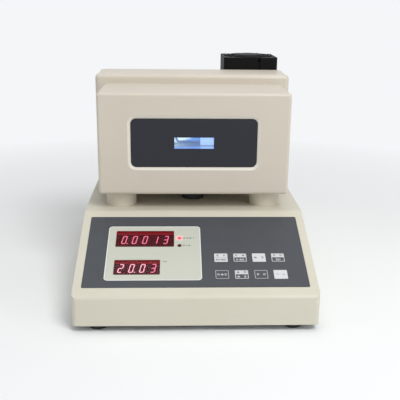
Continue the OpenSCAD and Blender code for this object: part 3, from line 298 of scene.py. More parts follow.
def makeDustGroup(values):  # light dust that settles on what faces up
    group, given, made = newGroup("settledDust", [("Amount", "Float", 0.2)], [("Dust", "Float")])
    place = addPlace(group)
    flat = group.nodes.new("ShaderNodeNewGeometry").outputs["Normal"]
    split = group.nodes.new("ShaderNodeSeparateXYZ")
    group.links.new(flat, split.inputs[0])
    up = addRange(group, split.outputs["Z"], *values["facingUp"], 0.0, 1.0)
    clouds = addNoise(group, place, values["cloudScale"], detail=4.0, rough=0.65)
    clouds = addRange(group, clouds, *values["clouds"], values["least"], 1.0)
    settled = addMath(group, "MULTIPLY", up, clouds)
    amount = addMath(group, "MULTIPLY", settled, given.outputs["Amount"])
    group.links.new(amount, made.inputs["Dust"])
    return group


brushValues = {"stretch": (0.02, 1.0, 1.0)}


def makeBrushGroup(values):  # drawn or brushed metal, lines along X
    group, given, made = newGroup(
        "brushedLines", [("Line Width", "Float", 0.0002), ("Depth", "Float", 0.00001)],
        [("Lines", "Float"), ("Height", "Float")])
    place = addPlace(group)
    stretched = group.nodes.new("ShaderNodeMapping")
    stretched.inputs["Scale"].default_value = values["stretch"]
    group.links.new(place, stretched.inputs["Vector"])
    scale = addMath(group, "DIVIDE", 1.0, given.outputs["Line Width"])
    lines = addNoise(group, stretched.outputs["Vector"], scale, detail=2.0, rough=0.6)
    group.links.new(lines, made.inputs["Lines"])
    height = addMath(group, "MULTIPLY", lines, given.outputs["Depth"])
    group.links.new(height, made.inputs["Height"])
    return group


def makeSpotGroup():  # 1 at a point, falling to 0 at the reach
    group, given, made = newGroup(
        "nearPoint",
        [("Point", "Vector", (0, 0, 0)), ("Inner", "Float", 0.001), ("Reach", "Float", 0.005)],
        [("Near", "Float")])
    place = addPlace(group)
    gap = group.nodes.new("ShaderNodeVectorMath")
    gap.operation = "DISTANCE"
    group.links.new(place, gap.inputs[0])
    group.links.new(given.outputs["Point"], gap.inputs[1])
    inner, reach = given.outputs["Inner"], given.outputs["Reach"]
    near = addRange(group, gap.outputs["Value"], inner, reach, 1.0, 0.0)
    group.links.new(near, made.inputs["Near"])
    return group


reliefGroup = makeReliefGroup(reliefValues)
mottleGroup = makeMottleGroup(mottleValues)
dustGroup = makeDustGroup(dustValues)
brushGroup = makeBrushGroup(brushValues)
spotGroup = makeSpotGroup()
print("shader groups built")


# finishes

def newFinish(name):
    material = bpy.data.materials.new(name)
    material.use_nodes = True
    tree = material.node_tree
    tree.nodes.clear()
    output = tree.nodes.new("ShaderNodeOutputMaterial")
    shader = tree.nodes.new("ShaderNodeBsdfPrincipled")
    tree.links.new(shader.outputs[0], output.inputs[0])
    return material, tree, shader


def setGlow(material, colour, strength):  # light of its own, its colour from a shader node
    tree = material.node_tree
    shader = next(n for n in tree.nodes if n.type == "BSDF_PRINCIPLED")
    tree.links.new(colour, shader.inputs["Emission Color"])
    shader.inputs["Emission Strength"].default_value = strength


baseLook = {  # colours as seen, lengths in metres
    "colour": (200, 196, 184), "patch": (188, 184, 172), "patchShare": 0.25, "patchSize": 0.06,
    "speck": None, "speckShare": 0.3, "speckSize": 0.0014,
    "worn": (225, 222, 212), "wornShare": 0.35, "edge": 0.0006,
    "rub": (170, 168, 160), "rubShare": 0.05, "rubRough": 0.06,
    "dust": 0.05, "dustColour": (196, 192, 184),
    "rough": (0.42, 0.55), "grain": 0.0009, "grainHeight": 0.00003, "ripple": 0.0,
    "metal": 0.0, "shine": 0.5, "alpha": 1.0,
    "glow": None, "glowStrength": 0.0,
}


def solidFinish(name, **changes):
    look = {**baseLook, **changes}
    material, tree, shader = newFinish(name)
    relief = addGroup(
        tree, reliefGroup, Edge_Radius=look["edge"], Grain_Size=look["grain"],
        Grain_Height=look["grainHeight"], Ripple_Height=look["ripple"])
    mottle = addGroup(tree, mottleGroup, Patch_Size=look["patchSize"], Speck_Size=look["speckSize"])
    dust = addGroup(tree, dustGroup, Amount=look["dust"])
    share = addMath(tree, "MULTIPLY", mottle.outputs["Patches"], look["patchShare"])
    colour = addMix(tree, share, linear(look["colour"]), linear(look["patch"]))
    if look["speck"]:
        share = addMath(tree, "MULTIPLY", mottle.outputs["Specks"], look["speckShare"])
        colour = addMix(tree, share, colour, linear(look["speck"]))
    share = addMath(tree, "MULTIPLY", mottle.outputs["Rubs"], look["rubShare"])
    colour = addMix(tree, share, colour, linear(look["rub"]))
    share = addMath(tree, "MULTIPLY", relief.outputs["Edge"], look["wornShare"])
    colour = addMix(tree, share, colour, linear(look["worn"]))
    colour = addMix(tree, dust.outputs["Dust"], colour, linear(look["dustColour"]))
    tree.links.new(colour, shader.inputs["Base Color"])
    low, high = look["rough"]
    rough = addRange(tree, mottle.outputs["Patches"], 0.0, 1.0, low, high)
    rubbed = addMath(tree, "MULTIPLY", mottle.outputs["Rubs"], look["rubRough"])
    rough = addMath(tree, "ADD", rough, rubbed, True)
    tree.links.new(rough, shader.inputs["Roughness"])
    tree.links.new(relief.outputs["Normal"], shader.inputs["Normal"])
    shader.inputs["Metallic"].default_value = look["metal"]
    shader.inputs["Specular IOR Level"].default_value = look["shine"]
    shader.inputs["Alpha"].default_value = look["alpha"]
    if look["glow"]:
        shader.inputs["Emission Color"].default_value = linear(look["glow"])
        shader.inputs["Emission Strength"].default_value = look["glowStrength"]
    return material


def brushedFinish(name, **changes):
    look = {
        "colour": (178, 180, 184), "dark": (140, 142, 146), "line": 0.0002, "depth": 0.000012,
        "lineLevels": (0.3, 0.7), "rough": (0.28, 0.42), "dust": 0.05,
        "dustColour": (170, 168, 162), "metal": 1.0, **changes}
    material, tree, shader = newFinish(name)
    brush = addGroup(tree, brushGroup, Line_Width=look["line"], Depth=look["depth"])
    dust = addGroup(tree, dustGroup, Amount=look["dust"])
    lines = brush.outputs["Lines"]
    colour = addMix(tree, lines, linear(look["colour"]), linear(look["dark"]))
    colour = addMix(tree, dust.outputs["Dust"], colour, linear(look["dustColour"]))
    tree.links.new(colour, shader.inputs["Base Color"])
    rough = addRange(tree, lines, *look["lineLevels"], *look["rough"])
    tree.links.new(rough, shader.inputs["Roughness"])
    bump = tree.nodes.new("ShaderNodeBump")
    bump.inputs["Distance"].default_value = 1.0
    tree.links.new(brush.outputs["Height"], bump.inputs["Height"])
    tree.links.new(bump.outputs["Normal"], shader.inputs["Normal"])
    shader.inputs["Metallic"].default_value = look["metal"]
    return material


def dress(material, *names):
    for name in names:
        node = cadNodes[name]
        node.data.materials.clear()
        node.data.materials.append(material)


def dressInTwo(name, first, second, isFirst):  # two finishes on one node, chosen face by face
    dress(first, name)
    data = cadNodes[name].data
    data.materials.append(second)
    for face in data.polygons:
        face.material_index = 0 if isFirst(face) else 1


# cases and covers

casePaint = solidFinish(
    "casePaint", colour=(208, 204, 188), patch=(202, 197, 180), patchShare=0.3,
    worn=(222, 218, 204), rub=(190, 186, 172), grain=0.0011, grainHeight=0.00002,
    ripple=0.0003, rough=(0.38, 0.5), edge=0.0009)
headPaint = solidFinish(
    "headPaint", colour=(205, 197, 183), patch=(199, 190, 176), patchShare=0.3,
    worn=(224, 217, 204), rub=(186, 178, 166), grain=0.0011, grainHeight=0.00002,
    ripple=0.0003, rough=(0.38, 0.5), edge=0.0009)
columnPaint = solidFinish(
    "columnPaint", colour=(208, 201, 186), patch=(198, 191, 175), grain=0.0009,
    grainHeight=0.00002, rough=(0.4, 0.52), edge=0.0006)

# the bevel round the label plate gets its own paler paint on all four sides: a painted highlight on
# its sloped faces
recessBevel = {
    "halfWidth": 84.5, "low": 151.8, "high": 222.9,  # mm
    "flat": -0.99, "side": -0.5,                     # its faces lean between these two
}
bevelHighlightPaint = solidFinish(
    "bevelHighlightPaint", colour=(224, 218, 206), patch=(218, 211, 198), patchShare=0.3,
    worn=(232, 227, 217), rub=(200, 193, 181), grain=0.0011, grainHeight=0.00002,
    rough=(0.34, 0.44), edge=0.0006)


def isPlainFront(face):  # all of the front box but the bevel round its label plate
    look = recessBevel
    x, y, z = face.center / mm
    inside = abs(x) < look["halfWidth"] and look["low"] < z < look["high"]
    return not (inside and look["flat"] < face.normal.y < look["side"])


dressInTwo("front_box", headPaint, bevelHighlightPaint, isPlainFront)

rearPaint = solidFinish(
    "rearPaint", colour=(192, 186, 172), patch=(184, 178, 164), grain=0.0008,
    grainHeight=0.000035, rough=(0.45, 0.6), edge=0.0003)
dress(casePaint, "base_shell")
dress(headPaint, "rear_housing", "back_cover", "fan_duct")
dress(columnPaint, "head_columns")
dress(rearPaint, "rear_panel")

zincSheet = brushedFinish(
    "zincSheet", colour=(170, 172, 174), dark=(140, 143, 146), line=0.0006, rough=(0.38, 0.55))
dress(zincSheet, "base_plate")
footRubber = solidFinish(
    "footRubber", colour=(26, 25, 25), patch=(38, 37, 36), worn=(58, 56, 54), rub=(60, 58, 56),
    rubShare=0.2, dust=0.1, dustColour=(120, 116, 110), grain=0.0007, grainHeight=0.00005,
    rough=(0.6, 0.8))
dress(footRubber, "rubber_feet")
print("cases dressed")


# screws, plastics, electrics and what is inside

screwSteel = brushedFinish(
    "screwSteel", colour=(190, 190, 190), dark=(150, 150, 152), line=0.0003, rough=(0.24, 0.38))
dress(screwSteel, "foot_screws", "case_screws", "board_screws", "column_bolts")
blackSteel = brushedFinish(
    "blackSteel", colour=(44, 44, 46), dark=(30, 30, 32), line=0.0003, rough=(0.34, 0.46))
dress(blackSteel, "fan_screws")
portSteel = brushedFinish(
    "portSteel", colour=(200, 200, 202), dark=(168, 168, 172), line=0.0002, rough=(0.16, 0.28))
dress(portSteel, "sample_ports")
blackMoulding = solidFinish(
    "blackMoulding", colour=(30, 30, 31), patch=(38, 38, 39), worn=(66, 66, 67), rub=(58, 58, 58),
    rubShare=0.15, dust=0.06, dustColour=(120, 118, 114), grain=0.0006, grainHeight=0.00003,
    rough=(0.38, 0.52), edge=0.0004)
dress(blackMoulding, "mains_inlet", "fuse_holder", "switch_frame", "key_switches",
      "harness_sleeve")
pinNickel = brushedFinish(
    "pinNickel", colour=(205, 200, 180), dark=(178, 172, 150), line=0.0002, rough=(0.18, 0.3))
dress(pinNickel, "inlet_pins")
boardGreen = solidFinish(
    "boardGreen", colour=(20, 84, 48), patch=(26, 98, 58), patchSize=0.012, patchShare=0.7,
    speck=(176, 170, 130), speckShare=0.7, speckSize=0.0022, worn=(150, 150, 110),
    rub=(40, 110, 70), grain=0.0006, grainHeight=0.00002, rough=(0.32, 0.46), edge=0.0002)
dress(boardGreen, "panel_board", "main_board", "supply_board")
coreIron = solidFinish(
    "coreIron", colour=(96, 78, 52), patch=(70, 62, 52), patchSize=0.008, patchShare=0.6,
    worn=(150, 140, 120), rub=(120, 100, 70), rough=(0.45, 0.65), grain=0.0005,
    grainHeight=0.00004, metal=0.5)
dress(coreIron, "supply_transformer")
harnessJacket = solidFinish(
    "harnessJacket", colour=(70, 70, 72), patch=(84, 84, 86), worn=(110, 110, 110),
    rub=(96, 96, 96), rough=(0.5, 0.62), grain=0.0005)
dress(harnessJacket, "head_harness")
gasketFoam = solidFinish(
    "gasketFoam", colour=(52, 52, 50), patch=(66, 66, 62), patchSize=0.004, worn=(84, 84, 80),
    rough=(0.8, 0.95), grain=0.0012, grainHeight=0.0002, edge=0.0003)
dress(gasketFoam, "head_gasket", "cell_insulation")
whiteNylon = solidFinish(
    "whiteNylon", colour=(224, 222, 214), patch=(212, 210, 200), worn=(236, 234, 228),
    rub=(200, 198, 190), rough=(0.36, 0.5), grain=0.0005)
dress(whiteNylon, "board_spacers", "sample_tubes", "heat_pump")
blockMetal = brushedFinish(
    "blockMetal", colour=(182, 184, 188), dark=(146, 149, 154), line=0.0004)
dress(blockMetal, "cell_block", "heat_spreader", "heat_sink")
print("inside and hardware dressed")


# fan

fanLook = {
    "colour": (10, 10, 10), "patch": (13, 13, 13), "worn": (48, 48, 48), "wornShare": 0.4,
    "rub": (30, 30, 30), "rubShare": 0.1, "dust": 0.05, "dustColour": (70, 69, 68),
    "rough": (0.5, 0.62), "grain": 0.0006, "grainHeight": 0.00003, "edge": 0.0006, "shine": 0.12,
}
fanPlastic = solidFinish("fanPlastic", **fanLook)
guardEnamel = solidFinish(
    "guardEnamel", colour=(10, 11, 12), patch=(13, 14, 15), worn=(60, 60, 62), wornShare=0.3,
    rub=(34, 34, 34), dust=0.03, rough=(0.5, 0.6), grain=0.0004, grainHeight=0.00001,
    edge=0.0002, shine=0.2)
dress(fanPlastic, "fan_frame", "fan_rotor")
dress(guardEnamel, "fan_guard")
print("fan dressed")


# sloped panel: overlay, bezel, displays, lamps and keys

panel = {
    "front": -204.966,  # mm, where the slope starts
    "low": 43.0,        # its height there
    "tilt": 22.0,       # degrees
}


def panelMatrix():  # x across, y up the slope, z out of the panel, in metres
    tilt = math.radians(panel["tilt"])
    turn = Matrix.Rotation(tilt, 4, "X")
    return Matrix.Translation((0, panel["front"] * mm, panel["low"] * mm)) @ turn


def panelPoint(x, y, z):
    return panelMatrix() @ Vector((x * mm, y * mm, z * mm))


overlayFilm = solidFinish(
    "overlayFilm", colour=(71, 74, 79), patch=(76, 79, 84), patchSize=0.09, patchShare=0.5,
    worn=(120, 122, 126), wornShare=0.2, rub=(104, 107, 112), rubShare=0.06, dust=0.04,
    dustColour=(140, 140, 140), grain=0.0005, grainHeight=0.000012, rough=(0.34, 0.42),
    edge=0.0002, shine=0.16)
dress(overlayFilm, "panel_overlay")

bezelLook = {
    "colour": (194, 197, 184), "patch": (189, 192, 179),
    "lampAt": (-18.7, 98.3, 0.6), "glowInner": 2.2, "glowReach": 7.0,  # mm in the panel
    "glow": (255, 96, 110), "glowStrength": 0.8, "glowFall": 2.0,
}


def bezelFinish(look):
    material = solidFinish(
        "bezelFilm", colour=look["colour"], patch=look["patch"], worn=(222, 224, 220),
        rub=(188, 192, 184), rubShare=0.04, dust=0.03, grain=0.0005, grainHeight=0.00001,
        rough=(0.36, 0.44), edge=0.0002)
    # the bezel glows red round the upper lamp though it is no lamp: a painted pool of the lamp's
    # light
    tree = material.node_tree
    spot = addGroup(
        tree, spotGroup, Point=tuple(panelPoint(*look["lampAt"])),
        Inner=look["glowInner"] * mm, Reach=look["glowReach"] * mm)
    soft = addMath(tree, "POWER", spot.outputs["Near"], look["glowFall"])
    colour = addMix(tree, soft, linear((0, 0, 0)), linear(look["glow"]))
    setGlow(material, colour, look["glowStrength"])
    return material


dress(bezelFinish(bezelLook), "display_bezel")

redFilter = solidFinish(
    "redFilter", colour=(92, 10, 20), patch=(84, 8, 18), worn=(190, 40, 50), wornShare=0.2,
    rub=(92, 10, 20), rubShare=0.0, dust=0.0, rough=(0.14, 0.2), grain=0.002,
    grainHeight=0.0, edge=0.0001, alpha=0.26, shine=0.2)
# the filter's edge faces glow red though they are no lamp: painted light along its edges
filterEdgeGlow = solidFinish(
    "filterEdgeGlow", colour=(120, 22, 32), patch=(104, 16, 26), worn=(150, 40, 50), wornShare=0.2,
    dust=0.0, rough=(0.3, 0.4), glow=(130, 18, 30), glowStrength=0.5)
# the displays' faces glow faintly red though they are no lamp: painted light from the digits
displayBack = solidFinish(
    "displayBack", colour=(34, 4, 12), patch=(28, 3, 10), worn=(54, 10, 16), rub=(40, 6, 14),
    dust=0.0, rough=(0.5, 0.6), glow=(130, 4, 36), glowStrength=0.12)
litSegment = solidFinish(
    "litSegment", colour=(200, 30, 60), patch=(190, 24, 50), worn=(200, 30, 60), dust=0.0,
    glow=(255, 134, 170), glowStrength=1.5)
brightSegment = solidFinish(
    "brightSegment", colour=(230, 90, 120), patch=(220, 80, 110), worn=(230, 90, 120), dust=0.0,
    glow=(255, 196, 212), glowStrength=1.6)
lampLit = solidFinish(
    "lampLit", colour=(230, 60, 80), patch=(220, 40, 60), worn=(240, 120, 130), dust=0.0,
    rough=(0.2, 0.3), glow=(255, 84, 100), glowStrength=1.0)
lampDark = solidFinish(
    "lampDark", colour=(74, 22, 28), patch=(60, 18, 24), worn=(120, 50, 56), dust=0.0,
    rough=(0.2, 0.3))
displaySplit = {
    "brightTo": -57.0,  # mm across the panel, the lower display's last digit is dimmer
    "litFrom": 91.5,    # mm up the slope, between the two lamps
    "outward": 0.5,     # a filter's flat faces turn out of the panel by more than this
}


def placeInPanel(face):
    return panelMatrix().inverted() @ face.center / mm


def isBright(face):
    return placeInPanel(face).x < displaySplit["brightTo"]


def isLit(face):
    return placeInPanel(face).y > displaySplit["litFrom"]


def facesOut(face):
    turned = panelMatrix().to_3x3().inverted() @ face.normal
    return abs(turned.z) > displaySplit["outward"]


dress(displayBack, "density_display", "temperature_display")
dress(litSegment, "density_digits")
dressInTwo("temperature_digits", brightSegment, litSegment, isBright)
dressInTwo("display_filters", redFilter, filterEdgeGlow, facesOut)
dressInTwo("unit_lamps", lampLit, lampDark, isLit)
print("displays dressed")

keyGrey = solidFinish(
    "keyGrey", colour=(74, 77, 82), patch=(80, 83, 88), worn=(120, 122, 126), wornShare=0.3,
    rub=(104, 107, 112), dust=0.04, grain=0.0005, grainHeight=0.000012, rough=(0.34, 0.44),
    edge=0.0002, shine=0.16)
keyWhite = solidFinish(
    "keyWhite", colour=(208, 210, 212), patch=(200, 203, 205), worn=(222, 223, 224), dust=0.03,
    rub=(200, 202, 204), grain=0.0005, grainHeight=0.000012, rough=(0.36, 0.46), edge=0.0002)
inkAndHighlightLook = {
    "dust": 0.02, "rough": (0.4, 0.5), "grain": 0.0004, "grainHeight": 0.000006, "edge": 0.0001}


# thin printed layers, also used for the painted highlight along the bezel's rim
def inkAndHighlightFinish(name, **changes):
    return solidFinish(name, **{**inkAndHighlightLook, **changes})


inkPale = inkAndHighlightFinish(
    "inkPale", colour=(204, 207, 209), patch=(196, 199, 202), worn=(216, 218, 220),
    rub=(190, 193, 196))
inkSoft = inkAndHighlightFinish(
    "inkSoft", colour=(168, 172, 176), patch=(158, 162, 166), worn=(180, 184, 188))
inkDark = inkAndHighlightFinish(
    "inkDark", colour=(96, 99, 104), patch=(104, 107, 112), worn=(120, 122, 126))


def roundOutline(width, height, radius, cx=0.0, cy=0.0, steps=6):
    points = []
    for sx, sy, start in ((1, 1, 0), (-1, 1, 90), (-1, -1, 180), (1, -1, 270)):
        for step in range(steps + 1):
            angle = math.radians(start + 90 * step / steps)
            points.append((
                cx + sx * (width / 2 - radius) + radius * math.cos(angle),
                cy + sy * (height / 2 - radius) + radius * math.sin(angle)))
    return points


def addRing(mesh, points, z, matrix):
    return [mesh.verts.new(matrix @ Vector((x * mm, y * mm, z * mm))) for x, y in points]


def addSlab(mesh, outline, low, high, matrix, inner=None, slot=0):  # a flat printed shape
    outerLow = addRing(mesh, outline, low, matrix)
    outerHigh = addRing(mesh, outline, high, matrix)
    faces = []
    count = len(outline)
    for i in range(count):
        j = (i + 1) % count
        faces.append(mesh.faces.new((outerLow[i], outerLow[j], outerHigh[j], outerHigh[i])))
    if inner is None:
        faces.append(mesh.faces.new(outerHigh))
        faces.append(mesh.faces.new(list(reversed(outerLow))))
    else:
        innerLow = addRing(mesh, inner, low, matrix)
        innerHigh = addRing(mesh, inner, high, matrix)
        for i in range(count):
            j = (i + 1) % count
            faces.append(mesh.faces.new((outerHigh[i], outerHigh[j], innerHigh[j], innerHigh[i])))
            faces.append(mesh.faces.new((outerLow[j], outerLow[i], innerLow[i], innerLow[j])))
            faces.append(mesh.faces.new((innerLow[j], innerLow[i], innerHigh[i], innerHigh[j])))
    for face in faces:
        face.material_index = slot


def finishPiece(name, mesh, materials, body):
    data = bpy.data.meshes.new(name)
    mesh.to_mesh(data)
    mesh.free()
    for material in materials:
        data.materials.append(material)
    piece = addObject(name, data)
    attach(piece, body)


keyLook = {  # mm in the panel
    "x": 30.5, "pitchX": 22.7, "rowY": (63.4, 35.1), "columns": 4,
    "width": 15.8, "height": 14.2, "corner": 1.2, "top": 0.4,
    "ink": 0.03, "inset": 0.3, "line": 0.8, "innerCorner": 0.7,
    "halfInset": 0.2, "halfCorner": 0.3, "halfDrop": 0.1,
    # each key's print: white all over, a white upper half, or an outline only
    "styles": ("white", "half", "white", "half", "outline", "half", "outline", "white"),
    "rowLift": {"top": 3.75, "mid": 0.1, "low": -3.45},
    # each key's rows of marks: row, ink, places across
    "marks": (
        (("top", "dark", (-4, 4)), ("low", "dark", (-5, -1.8, 1.6, 4.6))),
        (("top", "dark", (-4, 4)), ("low", "pale", (-3.4, 0.6, 3.6))),
        (("mid", "dark", (-4.2, 4.2)),),
        (("top", "dark", (-4, 4)), ("low", "pale", (-1.6, 1.6))),
        (("mid", "pale", (-4, 0, 4)),),
        (("top", "dark", (-4, 4)), ("low", "pale", (-3.8, 3.8))),
        (("mid", "pale", (-3.8, 3.8)),),
        (("mid", "soft", (-3.6, 3.6)),)),
    "markRise": 0.02, "markCorner": 0.15,
    "split": 0,  # the key with a thin line across its middle
    "splitAt": 0.2, "splitLine": 0.55, "splitInset": 1.2, "splitCorner": 0.1,
}
inkSlots = {"pale": 0, "outline": 1, "soft": 2, "dark": 3}
markShapes = (  # generic dashes, x, y, width, height in mm
    ((0, 1.05, 2.8, 0.7), (0, 0, 1.6, 0.6), (0, -1.05, 2.8, 0.7)),
    ((-1.0, 0, 0.7, 2.8), (0.5, 0.8, 1.7, 0.7), (0.5, -0.8, 1.7, 0.7)),
    ((0, 1.0, 1.8, 0.7), (0, -0.5, 3.0, 1.5)),
)


def makeKeyPrint(index):
    look = keyLook
    mesh = bmesh.new()
    matrix = panelMatrix()
    cx = look["x"] + look["pitchX"] * (index % look["columns"])
    cy = look["rowY"][index // look["columns"]]
    low, high = look["top"], look["top"] + look["ink"]
    width, height = look["width"] - look["inset"], look["height"] - look["inset"]
    line, style = look["line"], look["styles"][index]
    if style in ("half", "outline"):
        outer = roundOutline(width, height, look["corner"], cx, cy)
        inner = roundOutline(width - 2 * line, height - 2 * line, look["innerCorner"], cx, cy)
        slot = inkSlots["pale"] if style == "half" else inkSlots["outline"]
        addSlab(mesh, outer, low, high, matrix, inner, slot)
    if style == "half":
        upper = roundOutline(
            width - look["halfInset"] - 2 * line, look["height"] / 2 - line, look["halfCorner"],
            cx, cy + look["height"] / 4 - look["halfDrop"])
        addSlab(mesh, upper, low, high, matrix, slot=inkSlots["pale"])
    if index == look["split"]:
        across = roundOutline(
            look["width"] - look["splitInset"], look["splitLine"], look["splitCorner"],
            cx, cy + look["splitAt"])
        addSlab(mesh, across, low, high, matrix, slot=inkSlots["soft"])
    markTop = high + look["markRise"]
    for row, ink, places in look["marks"][index]:
        rowY = cy + look["rowLift"][row]
        for number, at in enumerate(places):
            for dx, dy, w, h in markShapes[(number + index) % len(markShapes)]:
                bar = roundOutline(w, h, look["markCorner"], cx + at + dx, rowY + dy, 2)
                addSlab(mesh, bar, low, markTop, matrix, slot=inkSlots[ink])
    finishPiece(
        f"key_print_{index + 1}", mesh, [inkPale, inkSoft, inkSoft, inkDark],
        f"key_{index + 1}")


for keyIndex in range(len(keyLook["styles"])):
    white = keyLook["styles"][keyIndex] == "white"
    dress(keyWhite if white else keyGrey, f"key_{keyIndex + 1}")
    makeKeyPrint(keyIndex)
print("keys dressed")

bezelHighlightAndPrint = {  # mm in the panel
    "x": -49.4, "y": 73.0, "width": 113.0, "height": 94.0, "corner": 4.5, "rim": 0.9,
    "top": 0.5, "ink": 0.03, "inset": 0.1,
    # dashes beside the lamps and the lower window: x, y, width
    "dashes": ((-13.2, 98.3, 3.0), (-9.2, 98.3, 2.4), (-5.6, 98.3, 3.6), (-1.4, 99.1, 1.2),
               (-13.4, 84.8, 2.4), (-9.9, 84.8, 1.6), (-6.6, 84.8, 2.6),
               (-37.8, 57.2, 1.0), (-35.3, 56.8, 2.2)),
    "dashHeight": 1.6, "dashCorner": 0.3,
}
# the white rim round the bezel's edge is a painted highlight of its bevelled edge
rimHighlight = inkAndHighlightFinish(
    "rimHighlight", colour=(232, 234, 234), patch=(226, 228, 228), worn=(238, 240, 240),
    rough=(0.35, 0.45))
inkGrey = inkAndHighlightFinish(
    "inkGrey", colour=(108, 110, 108), patch=(118, 120, 118), worn=(150, 150, 150), dust=0.0)


def makeBezelHighlightAndPrint(look):
    matrix = panelMatrix()
    low, high = look["top"], look["top"] + look["ink"]
    width, height = look["width"] - look["inset"], look["height"] - look["inset"]
    deep = look["rim"]
    outer = roundOutline(width, height, look["corner"], look["x"], look["y"], 10)
    inner = roundOutline(
        width - 2 * deep, height - 2 * deep, look["corner"] - deep, look["x"], look["y"], 10)
    # a thin white ring along the bezel's edge: painted highlight
    rim = bmesh.new()
    addSlab(rim, outer, low, high, matrix, inner)
    finishPiece("bezel_rim_highlight", rim, [rimHighlight], "meter")
    dashes = bmesh.new()
    for x, y, width in look["dashes"]:
        dash = roundOutline(width, look["dashHeight"], look["dashCorner"], x, y, 3)
        addSlab(dashes, dash, low, high, matrix)
    finishPiece("bezel_dashes", dashes, [inkGrey], "meter")


makeBezelHighlightAndPrint(bezelHighlightAndPrint)

windowBand = {  # mm in the panel, each place as x, y, width, height
    "windows": ((-60.8, 97.25, 71.0, 29.2), (-68.65, 47.6, 54.0, 24.8)),
    "backings": ((-60.8, 98.25, 63.9, 19.4), (-68.65, 48.6, 51.2, 19.4)),  # round the displays
    "low": -2.2, "high": -2.1, "backingDrop": 0.06, "corner": 0.2,
    "reach": 1.3,  # beyond the window's edge, under the filter's flange
    "band": 0.17,  # share of the height
    "side": 4.4, "lowBand": 0.7, "fromBottom": 1.8,
}
bandRed = solidFinish(
    "bandRed", colour=(150, 34, 42), patch=(134, 26, 34), worn=(160, 40, 50), dust=0.0,
    rough=(0.4, 0.5), glow=(170, 40, 50), glowStrength=0.3)
bandDark = solidFinish(
    "bandDark", colour=(60, 12, 18), patch=(48, 8, 14), worn=(80, 20, 26), dust=0.0,
    rough=(0.5, 0.6), glow=(110, 14, 28), glowStrength=0.15)


def makeWindowBands(look):  # the red light that shows along the edges of the two windows
    mesh = bmesh.new()
    matrix = panelMatrix()
    low, high = look["low"], look["high"]
    reach, corner = look["reach"], look["corner"]
    for x, y, width, height in look["windows"]:
        deep = height * look["band"] + reach
        topY = y + height / 2 - deep / 2 + reach
        top = roundOutline(width + 2 * reach, deep, corner, x, topY, 2)
        addSlab(mesh, top, low, high, matrix)
        footY = y - height / 2 + look["fromBottom"]
        foot = roundOutline(width - look["side"], look["lowBand"], corner, x, footY, 2)
        addSlab(mesh, foot, low, high, matrix)
    for (x, y, width, height), (innerX, innerY, innerWidth, innerHeight) in zip(
            look["windows"], look["backings"]):
        outer = roundOutline(width + 2 * reach, height + 2 * reach, corner, x, y, 2)
        inner = roundOutline(innerWidth, innerHeight, corner, innerX, innerY, 2)
        addSlab(mesh, outer, low - look["backingDrop"], low, matrix, inner, slot=1)
    finishPiece("window_bands", mesh, [bandRed, bandDark], "meter")


makeWindowBands(windowBand)
print("bezel and windows dressed")


# label plate, window and cell

labelFilm = solidFinish(
    "labelFilm", colour=(38, 39, 46), patch=(43, 44, 51), patchSize=0.07, worn=(80, 82, 92),
    wornShare=0.3, rub=(64, 66, 74), rubShare=0.05, dust=0.03, dustColour=(110, 110, 112),
    grain=0.0005, grainHeight=0.00001, rough=(0.36, 0.46), edge=0.0002, shine=0.3)
dress(labelFilm, "label_plate")


def clearFinish(name, colour, rough, alpha):  # clear sheet or tube, seen through by its alpha
    return solidFinish(
        name, colour=colour, patch=colour, patchShare=0.1, worn=(235, 242, 250), wornShare=0.4,
        rub=(220, 228, 235), rubShare=0.1, dust=0.0, rough=rough, grain=0.0008,
        grainHeight=0.000002, edge=0.0002, alpha=alpha, shine=0.6)


windowGlass = clearFinish("windowGlass", (190, 214, 236), (0.06, 0.12), 0.14)
tubeGlass = clearFinish("tubeGlass", (170, 205, 244), (0.05, 0.1), 0.45)
# the tube's root glows pale blue though it is no lamp: painted light from the lit sheet behind it
rootCeramic = solidFinish(
    "rootCeramic", colour=(206, 226, 250), patch=(180, 204, 240), patchSize=0.006, patchShare=0.6,
    worn=(230, 242, 255), dust=0.0, rough=(0.3, 0.45), glow=(176, 208, 248), glowStrength=0.72)
tunnelLook = {
    "blue": (84, 130, 204), "pale": (158, 192, 244),
    "paleFrom": 0.0085, "paleTo": 0.0095,  # metres along X
    "strength": 0.5,
}


def tunnelFinish(look):  # blue light on the tunnel's walls, paler beside the tube's root
    material = solidFinish(
        "tunnelWhite", colour=(150, 186, 236), patch=(134, 172, 226), patchSize=0.01, dust=0.0,
        worn=(200, 222, 250), rough=(0.25, 0.4))
    tree = material.node_tree
    split = tree.nodes.new("ShaderNodeSeparateXYZ")
    tree.links.new(addPlace(tree), split.inputs[0])
    share = addRange(tree, split.outputs["X"], look["paleFrom"], look["paleTo"], 0.0, 1.0)
    colour = addMix(tree, share, linear(look["blue"]), linear(look["pale"]))
    setGlow(material, colour, look["strength"])
    return material


dress(tunnelFinish(tunnelLook), "window_tunnel")
dress(windowGlass, "view_window")
dress(tubeGlass, "u_tube")
dress(rootCeramic, "tube_root")

lightLook = {  # the lit sheet behind the tube, paler at its upper left
    "pale": (216, 240, 255), "mid": (88, 140, 210), "deep": (70, 108, 192),
    "left": -0.019, "right": 0.016, "low": 0.180, "high": 0.1845,  # metres
    "lowShare": 0.4, "cloudScale": 180.0, "cloudLevels": (0.3, 0.7), "cloud": 0.12,
    "paleToMid": (0.25, 0.55), "midToDeep": (0.65, 1.0), "strength": 1.25,
}


